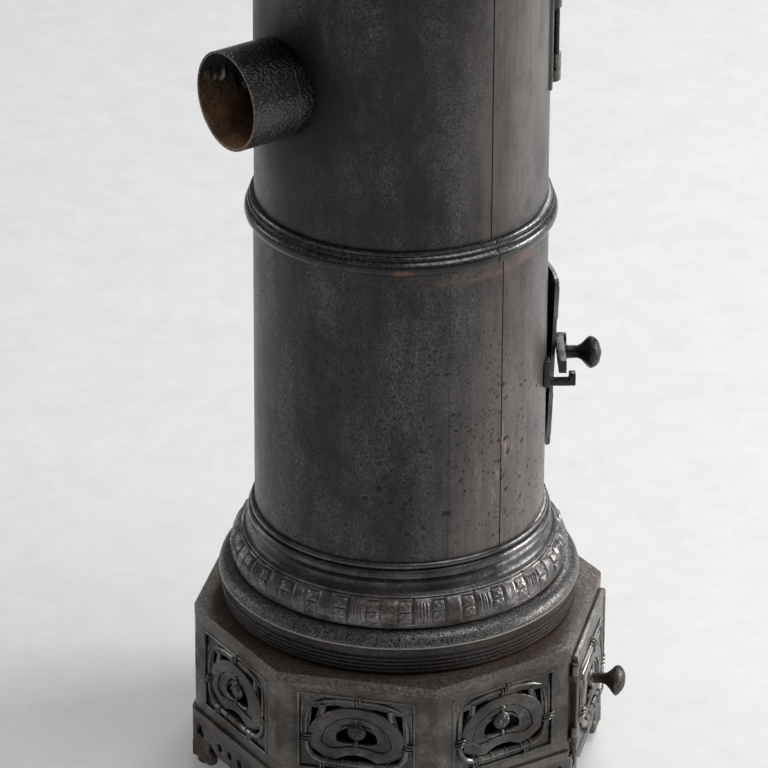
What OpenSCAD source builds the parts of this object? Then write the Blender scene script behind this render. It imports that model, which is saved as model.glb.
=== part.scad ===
// Cast-iron column stove: an octagonal ash base on feet, a moulded plinth, two sheet drums
// clamped between rings by tie rods, a flue stub at the back and two doors at the front.
// Frame: the origin is on the column's axis at floor level, +Z is up and the fire door faces -Y.
// An azimuth is an angle about +Z from the front, positive towards +X.

/* [Base] */
// Distance across the flats of the octagonal base
base_flats = 400; // [380:1:480]
// Radius of the base's upright corners
base_corner = 12; // [6:1:20]
// Wall thickness of the base castings
base_wall = 7; // [5:0.5:9]
// Gap between the floor and the skirt's lower edge
skirt_gap = 20; // [12:1:26]
// Height of the pierced skirt
skirt_h = 37; // [32:1:48]
// Thickness of the bottom plate, whose moulded edge shows above the skirt
bottom_plate_t = 9; // [6:0.5:12]
// How far the bottom plate's edge stands out of the wall
bottom_plate_lip = 3.5; // [2:0.5:6]
// Height of the base's walls
casing_h = 111; // [105:1:140]
// Thickness of the base's top plate
base_top_t = 10; // [6:1:14]
// Height of a foot's outer claw
foot_h = 37; // [28:1:40]
// Half the width of a foot, measured across its corner
foot_reach = 34; // [24:1:42]

/* [Grilles] */
// Width of a pierced side panel
panel_w = 123; // [110:1:130]
// Height of a pierced side panel
panel_h = 89; // [80:1:92]
// Distance from the base's top face down to a panel
panel_drop = 20; // [16:1:26]
// Thickness of a panel
panel_t = 5; // [4:0.5:6]

/* [Ash door and pan] */
// Azimuth of the ash door, on one facet of the base
ash_azimuth = -45; // [-45:45:45]
// Width of the ash door
ash_door_w = 152; // [140:1:156]
// Height of the ash door
ash_door_h = 123; // [110:1:126]
// Thickness of the ash door
ash_door_t = 5.4; // [4:0.2:7]
// Width of the ash pan
pan_w = 110; // [90:1:118]
// Length of the ash pan
pan_l = 300; // [240:1:300]
// Height of the ash pan
pan_h = 60; // [45:1:66]
// Sheet thickness of the ash pan
pan_sheet = 1.6; // [1:0.1:2.5]

/* [Plinth] */
// How far the reeded disc's rim stands out of the lower drum
disc_lip = 37.8; // [30:0.2:44]
// Height of the reeded disc
disc_h = 46; // [38:1:56]
// How far the ornament ring stands out of the lower drum
torus_lip = 24.5; // [20:0.5:28]
// Height of the ornament ring
torus_h = 33; // [28:1:40]
// Height of the collar that holds the lower drum
collar_h = 33; // [30:1:40]
// How far the plinth's open throat lies inside the circle of tie rods
throat_inset = 16.5; // [12:0.5:24]

/* [Drums] */
// Outer diameter of the lower drum
drum_d = 300; // [288:1:340]
// How much smaller the upper drum's diameter is
drum_step = 2; // [0:0.5:4]
// Thickness of the drums' sheet iron
sheet = 3; // [2:0.5:4]
// Height of the lower drum that shows
lower_drum_h = 325; // [300:1:400]
// Height of the upper drum that shows
upper_drum_h = 330; // [300:1:400]
// Depth that a drum goes into a ring
socket = 8; // [5:1:9]
// Height of the ring between the drums
ring_h = 25; // [23:1:32]
// How far that ring stands out of the lower drum
ring_lip = 9; // [6:0.5:12]

/* [Top] */
// Height of the cornice
cornice_h = 56; // [48:1:70]
// How far the cornice stands out of the upper drum
cornice_lip = 40; // [30:1:50]
// Thickness of the top plate
top_plate_t = 8; // [6:0.5:12]
// Radius of the lid
lid_r = 100; // [84:1:110]
// Thickness of the lid
lid_t = 6; // [4:0.5:10]

/* [Flue] */
// Outer diameter of the flue stub
flue_d = 102; // [80:1:120]
// Wall thickness of the flue stub
flue_wall = 3; // [2.5:0.5:6]
// Height of the flue's axis above the bottom of the upper drum
flue_rise = 150; // [130:1:190]
// Distance from the column's axis to the stub's open end
flue_reach = 212; // [190:1:240]
// The stub's direction, anticlockwise from the doors, seen from above
flue_azimuth = 182.9; // [175:0.1:185]

/* [Doors] */
// Width of a column door
door_w = 156; // [140:1:160]
// Thickness of a column door
door_t = 4; // [3:0.5:5]
// Height of the fire door
fire_door_h = 189; // [170:1:210]
// Height of the fire door's lower edge above the bottom of the lower drum
fire_door_rise = 52; // [48:1:70]
// How much further the fire door's top stands out than its bottom
fire_door_lean = 7; // [0:0.5:8]
// Height of the upper door
upper_door_h = 158; // [140:1:180]
// Height of the upper door's lower edge above the bottom of the upper drum
upper_door_rise = 103; // [90:1:120]
// Width of a door's opening in the drum
mouth_w = 112; // [96:1:116]
// Overlap of a door's plate above and below its opening
mouth_lap = 20; // [16:1:26]
// Diameter of a hinge pin
hinge_pin_d = 6; // [5:0.5:7]

/* [Latches] */
// Length of a latch bar from its pivot to the middle of its knob
latch_arm = 30.5; // [26:0.5:34]
// Thickness of a latch bar
latch_t = 8; // [6:0.5:9]
// Height of a latch bar
latch_h = 14; // [11:0.5:16]
// Height of a keeper's upturned tip above its seat
tip_h = 7; // [4:0.5:9]
// Diameter of a knob's head
knob_d = 33; // [26:1:36]

/* [Fire chamber] */
// Height of the ring that carries the grate
grate_ring_h = 32; // [26:1:36]
// How far the grate's edge lies inside the outer wall of its ring
grate_inset = 22.5; // [18:0.5:30]
// Thickness of the grate
grate_t = 8; // [6:1:12]
// Thickness of the fire bricks
brick_t = 27; // [20:1:30]
// Height of the fire bricks
brick_h = 210; // [180:1:240]
// Number of fire bricks round the chamber
brick_count = 6; // [5:1:7]
// Diameter of a tie rod
rod_d = 8; // [6:1:8]

/* [Hidden] */
$fn = 72;
grille_count = 7;
foot_count = 8;

iron = [0.16, 0.155, 0.15];
sheet_iron = [0.2, 0.19, 0.185];
rust = [0.3, 0.2, 0.15];
brick = [0.72, 0.58, 0.44];

// Clearances: a turning or sliding fit, a fitted seat, and the gap between loose faces
run = 0.05;
seat = 0.15;
loose = 0.3;

// Heights of the joints between the pieces, from the floor up
z_skirt = skirt_gap;
z_bottom_plate = z_skirt + skirt_h;
z_casing = z_bottom_plate + bottom_plate_t;
z_base_top = z_casing + casing_h;
z_disc = z_base_top + base_top_t;
z_torus = z_disc + disc_h;
z_collar = z_torus + torus_h;
z_lower = z_collar + collar_h;
z_ring = z_lower + lower_drum_h;
z_upper = z_ring + ring_h;
z_cornice = z_upper + upper_drum_h;
z_top_plate = z_cornice + cornice_h;
z_lid = z_top_plate + top_plate_t;

// Radii of the column
drum_r = drum_d / 2;
upper_r = drum_r - drum_step / 2;
rod_circle_r = drum_r - sheet - 6.5;
throat_r = rod_circle_r - throat_inset;
web_t = 7;

// The base
base_r = base_flats / 2;
facet = 45;
face_w = base_flats * tan(facet / 2);
foot_post_t = 10;
bolt_azimuths = [55, 125, -125, -55];

// The side panels: their middle, and the boss and openings on it
z_panel = z_disc - panel_drop - panel_h / 2;
panel_lip = 4;
panel_lip_t = 3;
boss_r = 10;
boss_rise = 6;
screw_d = 4;

// The ash door
ash_open_w = 130;
ash_open_h = casing_h - 19;
z_ash_door = z_disc - 14 - ash_door_h;
z_ash_knob = z_ash_door + ash_door_h / 2 - 4;
ash_face_y = base_r + 0.6;
ash_pin_x = -(ash_door_w / 2 + 4.5);
ash_pin_y = base_r + 4.6;
ash_pin_d = 3.6;
ash_knuckle_r = 3.7;
ash_knuckle_h = 12;
ash_lug_h = 6;
z_ash_knuckles = [z_casing + 14, z_base_top - 24];

// The ash pan, behind the door by the space that its handle needs
pan_front = base_r - base_wall - 61;
handle_reach = 30;
handle_w = 50;
handle_d = 6;

// The column doors: the latch's azimuth, and the hinge pin's, a little past the door's edge
z_fire_door = z_lower + fire_door_rise;
z_upper_door = z_upper + upper_door_rise;
door_gap = 1.5;
side_azimuth = asin(door_w / 2 / (drum_r + door_t));
// Clearances between a door's edge and its hinge, and under a knuckle's web
hinge_gap = 1;
knuckle_gap = 0.8;
function hinge_azimuth(axis_r, barrel_r) = asin((door_w / 2 + barrel_r + hinge_gap) / axis_r);
knuckle_r = 6.5;
knuckle_h = 16;
lug_h = 12;
liner_t = 3;
liner_gap = 9;
liner_inset = 7;
stud_d = 5;
mouth_corner = 10;

// The latches: the bar is straight, and its knob stands square on its middle
keeper_w = 9;
keeper_t = 7;
keeper_plate_w = 16;
keeper_plate_rise = 22;
tip_t = 7;
latch_tip_gap = 2.5;
stem_d = 13;
stem_l = 18;
knob_l = 19;
tenon_d = 6;

// The fire chamber
z_grate_ring = z_lower;
brick_r = rod_circle_r - rod_d / 2 - 1;
grate_r = brick_r - grate_inset;
door_gap_azimuth = 60;
nut_w = 15;
nut_h = 7;

// ---------------------------------------------------------------------------
// Helpers

// Turns what is modelled facing -Y to an azimuth
module facing(azimuth) {
    rotate([0, 0, azimuth]) children();
}

// A box from its limits
module block(x, y, z) {
    translate([x[0], y[0], z[0]]) cube([x[1] - x[0], y[1] - y[0], z[1] - z[0]]);
}

// A round bar that points out along -Y, between two distances from the column's axis
module bar_out(d, from, to, x = 0, z = 0) {
    translate([x, -from, z]) rotate([90, 0, 0]) cylinder(d = d, h = to - from);
}

// A tube about the column's axis
module tube(inner, outer, z0, z1) {
    translate([0, 0, z0]) difference() {
        cylinder(r = outer, h = z1 - z0);
        translate([0, 0, -1]) cylinder(r = inner, h = z1 - z0 + 2);
    }
}

// A flat figure drawn in x and z, given a thickness towards the front
module face_plate(from, to) {
    translate([0, -from, 0]) rotate([90, 0, 0]) linear_extrude(to - from) children();
}

// Outline of an octagon with rounded corners
function octagon_points(inradius, corner) = [
    for (k = [0:7], s = [0:6])
        let (a = facet * (k + 0.5), c = (inradius - corner) / cos(facet / 2), b = facet * (k + s / 6))
            [c * cos(a) + corner * cos(b), c * sin(a) + corner * sin(b)]
];

module octagon(inradius, z0, z1, corner = base_corner) {
    translate([0, 0, z0]) linear_extrude(z1 - z0) polygon(octagon_points(inradius, corner));
}

// Outline of a rectangle with rounded corners, centred on a point
function rounded_points(w, h, r, cx = 0, cy = 0) = [
    for (k = [0:3], s = [0:8])
        let (b = 90 * (k + s / 8), sx = (k == 0 || k == 3) ? 1 : -1, sy = (k < 2) ? 1 : -1)
            [cx + sx * (w / 2 - r) + r * cos(b), cy + sy * (h / 2 - r) + r * sin(b)]
];

// Points of an arc from one angle to another
function arc(cx, cy, rx, ry, from, to, steps = 8) = [
    for (s = [0:steps]) let (a = from + (to - from) * s / steps) [cx + rx * cos(a), cy + ry * sin(a)]
];

// Through holes for the tie rods
module rod_holes(z0, z1) {
    for (a = bolt_azimuths) facing(a) {
        translate([0, -rod_circle_r, z0]) cylinder(d = rod_d + 0.6, h = z1 - z0);
    }
}

// ---------------------------------------------------------------------------
// Base

// A corner foot: an outer claw in the skirt's notch and a post up to the bottom plate
module foot(i) {
    color(iron) facing(facet * (i - 0.5)) intersection() {
        union() {
            difference() {
                octagon_turned(base_r + 2, 0, foot_h - loose);
                octagon_turned(base_r - base_wall - 1, -1, foot_h + 1);
            }
            difference() {
                octagon_turned(base_r - base_wall - loose, 0, z_bottom_plate);
                octagon_turned(base_r - base_wall - foot_post_t, -1, z_bottom_plate + 1);
            }
        }
        block([-foot_reach, foot_reach], [-2 * base_r, 0], [-1, z_bottom_plate + 1]);
    }
}

// The base's octagon with one corner at the front
module octagon_turned(inradius, z0, z1) {
    rotate([0, 0, facet / 2]) octagon(inradius, z0, z1);
}

// Room for the corner feet in the skirt
module foot_notches() {
    for (i = [1:foot_count]) facing(facet * (i - 0.5)) {
        block([-foot_reach - loose, foot_reach + loose], [-2 * base_r, -base_r / 2], [z_skirt - 1, foot_h]);
    }
}

// One row of round holes along each side, with a trefoil at either end
module skirt_holes() {
    pitch = 19.5;
    hole_z = z_bottom_plate - 14;
    for (k = [-1:1]) bar_out(9, base_r - 20, base_r + 5, k * pitch, hole_z);
    for (side = [-1, 1]) for (p = [[0, 4], [-3.6, -2.5], [3.6, -2.5]]) {
        bar_out(6.5, base_r - 20, base_r + 5, side * 3 * pitch + p[0], hole_z + p[1]);
    }
}

module skirt() {
    color(iron) difference() {
        octagon(base_r, z_skirt, z_bottom_plate);
        octagon(base_r - base_wall, z_skirt - 1, z_bottom_plate + 1);
        foot_notches();
        for (k = [0:7]) facing(facet * k) {
            skirt_holes();
            // The lower edge is cut back beside the feet
            for (side = [-1, 1]) {
                face_plate(base_r - 20, base_r + 5) polygon([
                    [side * (face_w / 2 - 46), z_skirt - 1], [side * (face_w / 2), z_skirt - 1],
                    [side * (face_w / 2), z_skirt + 14], [side * (face_w / 2 - 34), z_skirt + 14]
                ]);
            }
        }
    }
}

module bottom_plate() {
    color(iron) difference() {
        octagon(base_r + bottom_plate_lip, z_bottom_plate, z_casing);
        // The edge is flush behind the ash door
        facing(ash_azimuth) block(
            [-ash_door_w / 2 - 12, ash_door_w / 2 + 4], [-base_r - 20, -base_r],
            [z_bottom_plate - 1, z_casing + 1]
        );
    }
}

module base_casing() {
    color(iron) difference() {
        union() {
            difference() {
                octagon(base_r, z_casing, z_base_top);
                octagon(base_r - base_wall, z_casing - 1, z_base_top + 1, base_corner - base_wall + 1);
            }
            // Lugs for the ash door's hinge pin
            facing(ash_azimuth) for (z = z_ash_knuckles) {
                translate([ash_pin_x, -ash_pin_y, z - ash_lug_h - loose]) {
                    cylinder(r = ash_knuckle_r, h = ash_lug_h);
                }
                block(
                    [ash_pin_x - 2.5, ash_pin_x + 2.5], [-ash_pin_y, -base_r + 5],
                    [z - ash_lug_h - loose, z - loose]
                );
            }
        }
        for (i = [1:grille_count]) facing(ash_azimuth + facet * i) {
            block(
                [-panel_w / 2, panel_w / 2], [-base_r - 1, -base_r + base_wall + 1],
                [z_panel - panel_h / 2, z_panel + panel_h / 2]
            );
            for (p = panel_screw_places()) bar_out(screw_d, base_r - base_wall - 1, base_r - 2, p[0], p[1]);
        }
        facing(ash_azimuth) {
            block(
                [-ash_open_w / 2, ash_open_w / 2], [-base_r - 1, -base_r + base_wall + 1],
                [z_casing - 1, z_casing + ash_open_h]
            );
            translate([ash_pin_x, -ash_pin_y, z_casing - 1]) {
                cylinder(d = ash_pin_d + 2 * run, h = casing_h + 2);
            }
        }
    }
}

function panel_screw_places() = [
    for (x = [-1, 1], z = [-1, 1]) [x * (panel_w / 2 + 2.5), z_panel + z * (panel_h / 2 - 12)]
];

// The openings of a pierced panel, drawn about its middle
module piercings(w, h) {
    difference() {
        intersection() {
            translate([0, boss_rise - 11]) circle(r = 29);
            translate([-30, boss_rise - 11]) square([60, 30]);
        }
        translate([0, boss_rise]) circle(r = boss_r);
        translate([-2, boss_rise - 12]) square([4, 34]);
    }
    // The lens at the bottom
    intersection() {
        translate([0, -h / 2 - 36]) circle(r = 50);
        translate([0, -h / 2 + 56]) circle(r = 50);
    }
    for (side = [-1, 1]) translate([side * (w / 2 - 7.5), 0]) scale([side, 1]) {
        polygon([[-35, h / 2 - 9], [-13, h / 2 - 9], [-17, h / 2 - 16]]);
        polygon([[-8, h / 2 - 10], [0, h / 2 - 16], [0, h / 2 - 38]]);
        polygon([[-4, -h / 2 + 11], [0, -h / 2 + 22], [-13, -h / 2 + 11]]);
    }
}

module grille(i) {
    color(iron) facing(ash_azimuth + facet * i) difference() {
        union() {
            block(
                [-panel_w / 2 + seat, panel_w / 2 - seat], [-base_r + 1, -base_r + 1 + panel_t],
                [z_panel - panel_h / 2 + seat, z_panel + panel_h / 2 - seat]
            );
            block(
                [-panel_w / 2 - 6, panel_w / 2 + 6],
                [-base_r + base_wall, -base_r + base_wall + panel_lip_t],
                [z_panel - panel_h / 2 + panel_lip, z_panel + panel_h / 2 - panel_lip]
            );
            block(
                [-panel_w / 2 + 2, panel_w / 2 - 2], [-base_r + 3, -base_r + base_wall + 1],
                [z_panel - panel_h / 2 + panel_lip, z_panel + panel_h / 2 - panel_lip]
            );
        }
        face_plate(base_r - base_wall - 10, base_r + 1) translate([0, z_panel]) piercings(panel_w, panel_h);
        for (p = panel_screw_places()) {
            bar_out(screw_d + 2 * run, base_r - base_wall - 10, base_r - base_wall + 0.01, p[0], p[1]);
        }
    }
}

// Screws that hold the panels from behind
module panel_screws() {
    back = base_r - base_wall - panel_lip_t;
    color(rust) for (i = [1:grille_count]) facing(ash_azimuth + facet * i) {
        for (p = panel_screw_places()) {
            bar_out(screw_d - 2 * run, back, base_r - 2 - seat, p[0], p[1]);
            bar_out(7, back - 2.5, back, p[0], p[1]);
        }
    }
}

module base_top() {
    edge = 2.5;
    color(iron) difference() {
        union() {
            octagon(base_r, z_base_top, z_disc - edge);
            octagon(base_r - edge, z_disc - edge - 1, z_disc, base_corner - edge);
        }
        translate([0, 0, z_base_top - 1]) cylinder(r = throat_r, h = base_top_t + 2);
        rod_holes(z_base_top - 1, z_disc + 1);
    }
}

// ---------------------------------------------------------------------------
// Ash door and pan, modelled facing the front and turned to their facet

module ash_door() {
    color(iron) facing(ash_azimuth) difference() {
        union() {
            block(
                [-ash_door_w / 2, ash_door_w / 2], [-ash_face_y - ash_door_t, -ash_face_y],
                [z_ash_door, z_ash_door + ash_door_h]
            );
            for (z = z_ash_knuckles) {
                translate([ash_pin_x, -ash_pin_y, z]) cylinder(r = ash_knuckle_r, h = ash_knuckle_h);
                block(
                    [ash_pin_x, -ash_door_w / 2 + 2], [-ash_face_y - ash_door_t, -ash_face_y - 0.4],
                    [z, z + ash_knuckle_h]
                );
            }
        }
        face_plate(base_r - 5, base_r + 20) {
            translate([0, z_ash_knob - boss_rise]) piercings(panel_w, panel_h);
        }
        translate([ash_pin_x, -ash_pin_y, z_ash_door]) cylinder(d = ash_pin_d + 2 * run, h = ash_door_h);
        bar_out(tenon_d + 2 * run, base_r - 5, base_r + 20, 0, z_ash_knob);
    }
}

// A mushroom knob on a round stem, with the tenon that is riveted through its plate
module knob(from, plate_t, x, z) {
    translate([x, -from, z]) rotate([90, 0, 0]) {
        translate([0, 0, -plate_t]) cylinder(d = tenon_d, h = plate_t + 1);
        rotate_extrude() polygon(concat(
            [[0, 0], [stem_d / 2 + 1.5, 0], [stem_d / 2, 3], [stem_d / 2, stem_l - 5]],
            [[stem_d / 2 + 2, stem_l - 1]],
            arc(0, stem_l + knob_l * 0.5, knob_d / 2, knob_l * 0.5, -38, 90, 10)
        ));
    }
}

module ash_knob() {
    color(rust) facing(ash_azimuth) {
        knob(ash_face_y + ash_door_t, ash_door_t, 0, z_ash_knob);
    }
}

module ash_hinge_pin() {
    color(iron) facing(ash_azimuth) translate([ash_pin_x, -ash_pin_y, 0]) {
        bottom = z_ash_knuckles[0] - ash_lug_h - loose - 3;
        top = z_ash_knuckles[1] + ash_knuckle_h + loose;
        translate([0, 0, bottom]) cylinder(d = ash_pin_d, h = top - bottom + 1);
        translate([0, 0, top]) cylinder(r = ash_knuckle_r, h = 2.5);
    }
}

module ash_pan() {
    z0 = z_casing + loose;
    color(sheet_iron) facing(ash_azimuth) difference() {
        block([-pan_w / 2, pan_w / 2], [-pan_front, pan_l - pan_front], [z0, z0 + pan_h]);
        block(
            [-pan_w / 2 + pan_sheet, pan_w / 2 - pan_sheet],
            [-pan_front + pan_sheet, pan_l - pan_front - pan_sheet],
            [z0 + pan_sheet, z0 + pan_h + 1]
        );
    }
}

module ash_pan_handle() {
    z = z_casing + loose + pan_h * 0.62;
    grip = pan_front + handle_reach - handle_d / 2;
    color(rust) facing(ash_azimuth) {
        for (side = [-1, 1]) {
            bar_out(handle_d, pan_front, grip, side * (handle_w / 2), z);
            translate([side * (handle_w / 2), -grip, z]) sphere(d = handle_d);
        }
        translate([-handle_w / 2, -grip, z]) rotate([0, 90, 0]) cylinder(d = handle_d, h = handle_w);
    }
}

// ---------------------------------------------------------------------------
// Plinth rings, each a shell that is turned round the column's axis

// Turns an outline of radius and height round the axis, from a height up
module turned(z0, points) {
    translate([0, 0, z0]) rotate_extrude() polygon(points);
}

module plinth_disc() {
    rim = drum_r + disc_lip;
    rim_z = disc_h - 13;
    foot_in = 5.5;
    groove = 1.4;
    color(iron) difference() {
        turned(z_disc, concat(
            [[throat_r, disc_h], [throat_r, disc_h - web_t], [rim - 19, disc_h - web_t]],
            [[rim - 9, rim_z - 3], [rim - foot_in - 6, 0], [rim - foot_in, 0]],
            // Four shallow grooves round the face
            [
                for (h = [2, 9, 16.5, 22.5], s = [[0, 0], [0.7, groove], [1.6, groove], [2.3, 0]])
                    [rim - foot_in * (1 - (h + s[0]) / rim_z) - s[1], h + s[0]]
            ],
            [[rim, rim_z], [rim, rim_z + 1.5], [rim - 1, rim_z + 2.5], [rim - 14, disc_h]]
        ));
        rod_holes(z_disc, z_torus + 1);
    }
}

// The ornament ring's bulge: the height of its middle, and half its full height
torus_middle = 10;
torus_rise = torus_h * 0.8;

module ornament_ring() {
    bulge = torus_lip;
    centre_z = torus_middle;
    rise = torus_rise;
    top_angle = asin((torus_h - centre_z) / rise);
    color(iron) difference() {
        turned(z_torus, concat(
            [[throat_r, torus_h], [throat_r, torus_h - web_t], [drum_r + 2, torus_h - web_t]],
            [[drum_r + bulge - 12, centre_z + 6], [drum_r + bulge - 13, 0], [drum_r + bulge - 6, 0]],
            [[drum_r + bulge - 6, 3]],
            arc(drum_r, centre_z, bulge, rise, -asin(7 / rise), top_angle, 12)
        ));
        rod_holes(z_torus, z_collar + 1);
    }
}

// The collar: a cove and two beads outside, a groove for the lower drum on top. Its hole is a
// little wider than the ones below it.
collar_widening = 4;

module collar_ring() {
    cove_from = drum_r + torus_lip * cos(asin((torus_h - torus_middle) / torus_rise));
    seat_z = collar_h - socket;
    hole_r = throat_r + collar_widening;
    color(iron) difference() {
        turned(z_collar, concat(
            [[hole_r, collar_h], [hole_r, seat_z - web_t + 1], [drum_r - 2, seat_z - web_t + 1]],
            [[drum_r + 1, 2], [cove_from - 5, 0], [cove_from, 0]],
            arc(cove_from + 1, collar_h - 20, cove_from - drum_r - 5, 12, 262, 182, 6),
            arc(drum_r + 3, collar_h - 12.3, 4.5, 5.3, -80, 80, 6),
            arc(drum_r + 2, collar_h - 3.5, 2.5, 3.2, -75, 80, 5),
            [[drum_r + 0.3, collar_h], [drum_r + 0.3, seat_z]],
            [[drum_r - sheet - 0.3, seat_z], [drum_r - sheet - 0.3, collar_h]]
        ));
        rod_holes(z_collar, z_lower + 1);
    }
}

// ---------------------------------------------------------------------------
// Drums, and the ring that joins them

// The drums' seams open a little; straps inside bridge them
lower_seam_azimuth = -79.5;
upper_seam_azimuth = -85.5;
seam_w = 0.8;
strap_w = 22;
strap_t = 2.5;

module drum(outer, z0, z1, seam) {
    difference() {
        tube(outer - sheet, outer, z0, z1);
        facing(seam) block([-seam_w / 2, seam_w / 2], [-outer - 5, -outer + sheet + 5], [z0 - 1, z1 + 1]);
    }
}

// The door's opening through a drum, with its middle height
module mouth(h, z) {
    face_plate(drum_r - 30, drum_r + 20) polygon(rounded_points(mouth_w, h, mouth_corner, 0, z));
}

// A part of a drum's inside face, cut to an outline that faces the front
module inner_plate(outer, t, z0, z1) {
    intersection() {
        tube(outer - t, outer, z0, z1);
        face_plate(outer / 2, outer + 20) children();
    }
}

fire_mouth_h = fire_door_h - 2 * mouth_lap;
z_fire_mouth = z_fire_door + fire_door_h / 2;
upper_mouth_h = upper_door_h - 2 * mouth_lap;
z_upper_mouth = z_upper_door + upper_door_h / 2;

module lower_drum() {
    color(sheet_iron) difference() {
        drum(drum_r, z_lower - socket, z_ring + socket, lower_seam_azimuth);
        mouth(fire_mouth_h, z_fire_mouth);
        rivet_places(z_fire_mouth, fire_mouth_h) rivet_hole();
    }
}

module upper_drum() {
    color(sheet_iron) difference() {
        drum(upper_r, z_upper - socket + 1, z_cornice + socket, upper_seam_azimuth);
        mouth(upper_mouth_h, z_upper_mouth);
        rivet_places(z_upper_mouth, upper_mouth_h) rivet_hole();
        facing(flue_azimuth) bar_out(
            flue_d - 2 * flue_neck_step + 2 * seat, upper_r - 30, upper_r + 10, 0, z_upper + flue_rise
        );
    }
}

module seam_straps() {
    color(sheet_iron) {
        facing(lower_seam_azimuth) strap(drum_r - sheet - seat, z_lower + 1, z_ring - 1);
        facing(upper_seam_azimuth) strap(upper_r - sheet - seat, z_upper + 1, z_cornice - 1);
    }
}

module strap(outer, z0, z1) {
    intersection() {
        tube(outer - strap_t, outer, z0, z1);
        block([-strap_w / 2, strap_w / 2], [-outer - 5, -outer / 2], [z0, z1]);
    }
}

// Four rivets beside a door's opening, which the closed door covers
rivet_d = 5;
rivet_head_d = 9;
rivet_x = mouth_w / 2 + 8;

module rivet_places(z, h) {
    for (x = [-1, 1], dz = [-1, 1]) translate([x * rivet_x, 0, z + dz * (h / 2 - 14)]) children();
}

module rivet_hole() {
    bar_out(rivet_d + 2 * run, drum_r / 2, drum_r + 5);
}

module rivets() {
    color(rust) {
        rivet_places(z_fire_mouth, fire_mouth_h) rivet(drum_r);
        rivet_places(z_upper_mouth, upper_mouth_h) rivet(upper_r);
    }
}

// Flush outside and headed behind the frame
module rivet(outer) {
    behind = outer - sheet - seat - liner_t - loose;
    outside = sqrt(pow(outer, 2) - pow(rivet_x + rivet_d / 2, 2)) - seat;
    inside = sqrt(pow(behind, 2) - pow(rivet_x + rivet_head_d / 2, 2));
    bar_out(rivet_d, inside - 0.5, outside);
    bar_out(rivet_head_d, inside - 3, inside);
}

// The ring between the drums: a large bead, a groove and two thin beads, and a ledge inside
module middle_ring() {
    big = ring_lip - 4.5;
    lip = drum_r + 0.3;
    upper_lip = upper_r + 0.3;
    ledge_r = throat_r + 10;
    color(iron) difference() {
        turned(z_ring, concat(
            [[ledge_r, socket], [lip, socket], [lip, 0]],
            arc(drum_r + 4.5, 7.2, big, 7, -88, 70, 9),
            arc(upper_r + 4.2, ring_h - 7.6, 2.6, 2.2, -70, 70, 4),
            arc(upper_r + 2.8, ring_h - 2.6, 2.2, 2.2, -60, 85, 4),
            [[upper_lip, ring_h], [upper_lip, ring_h - socket + 1], [ledge_r, ring_h - socket + 1]]
        ));
        rod_holes(z_ring, z_upper + 1);
    }
}

// ---------------------------------------------------------------------------
// Flue, cornice and top

// The stub, whose neck through the drum is a little thinner than the wall that takes the pipe
flue_neck_step = 1.5;
flue_shoulder = 3;

module flue_collar() {
    z = z_upper + flue_rise;
    inside = upper_r - sheet - seat;
    color(rust) facing(flue_azimuth) difference() {
        union() {
            bar_out(flue_d, upper_r + flue_shoulder, flue_reach, 0, z);
            difference() {
                bar_out(flue_d - 2 * flue_neck_step, upper_r / 2, upper_r + flue_shoulder + 1, 0, z);
                cylinder(r = inside - liner_t, h = z + flue_d);
            }
            // The flange that holds it behind the sheet
            intersection() {
                tube(inside - liner_t, inside, z - flue_d, z + flue_d);
                bar_out(flue_d + 26, upper_r / 2, upper_r + 20, 0, z);
            }
        }
        bar_out(flue_d - 2 * flue_wall, upper_r / 4, flue_reach + 1, 0, z);
    }
}

module cornice() {
    out = upper_r + cornice_lip;
    flange_z = socket;
    color(iron) difference() {
        turned(z_cornice, concat(
            [[throat_r, flange_z], [upper_r + 0.3, flange_z], [upper_r + 0.3, 0]],
            arc(upper_r + 3, 3.4, 3, 3.4, -80, 80, 6),
            arc(out - 4, 9, cornice_lip - 9, cornice_h - 25, 178, 96, 8),
            [[out - 3, cornice_h - 13], [out, cornice_h - 9], [out, cornice_h]],
            [[out - 16, cornice_h], [out - 16, cornice_h - 8]],
            [[out - cornice_lip * 0.72, cornice_h * 0.6], [upper_r, flange_z + web_t]],
            [[throat_r, flange_z + web_t]]
        ));
        rod_holes(z_cornice, z_top_plate + 1);
    }
}

module top_plate() {
    out = upper_r + cornice_lip;
    hole_r = lid_r - 10;
    color(iron) difference() {
        turned(z_top_plate, [
            [hole_r, 0], [out + 3, 0], [out + 4, 1.5], [out + 4, top_plate_t - 2],
            [out + 2, top_plate_t], [hole_r, top_plate_t]
        ]);
        rod_holes(z_top_plate - 1, z_lid + 1);
    }
}

module lid() {
    flange_r = lid_r - 10 - loose;
    color(iron) difference() {
        turned(z_lid, [
            [0, 0], [0, lid_t + 2], [26, lid_t + 2], [30, lid_t], [lid_r - 2, lid_t], [lid_r, lid_t - 2],
            [lid_r, 0], [flange_r, 0], [flange_r, 2 - top_plate_t], [flange_r - 5, 2 - top_plate_t],
            [flange_r - 5, 0]
        ]);
        translate([0, 0, z_lid - 1]) cylinder(d = tenon_d + 2 * run, h = lid_t + 5);
    }
}

module lid_knob() {
    plate = lid_t + 2;
    color(rust) translate([0, 0, z_lid]) rotate([-90, 0, 0]) knob(plate, plate, 0, 0);
}

// ---------------------------------------------------------------------------
// Door frames, hinges and doors on the column

module door_frame(outer, h, z, mouth_height) {
    inside = outer - sheet - seat;
    difference() {
        inner_plate(inside, liner_t, z - h, z + h) {
            polygon(rounded_points(mouth_w + 34, mouth_height + 34, mouth_corner, 0, z));
        }
        mouth(mouth_height, z);
        rivet_places(z, mouth_height) rivet_hole();
    }
}

module fire_frame() {
    color(iron) door_frame(drum_r, fire_door_h, z_fire_mouth, fire_mouth_h);
}

module upper_frame() {
    color(iron) door_frame(upper_r, upper_door_h, z_upper_mouth, upper_mouth_h);
}

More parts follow.
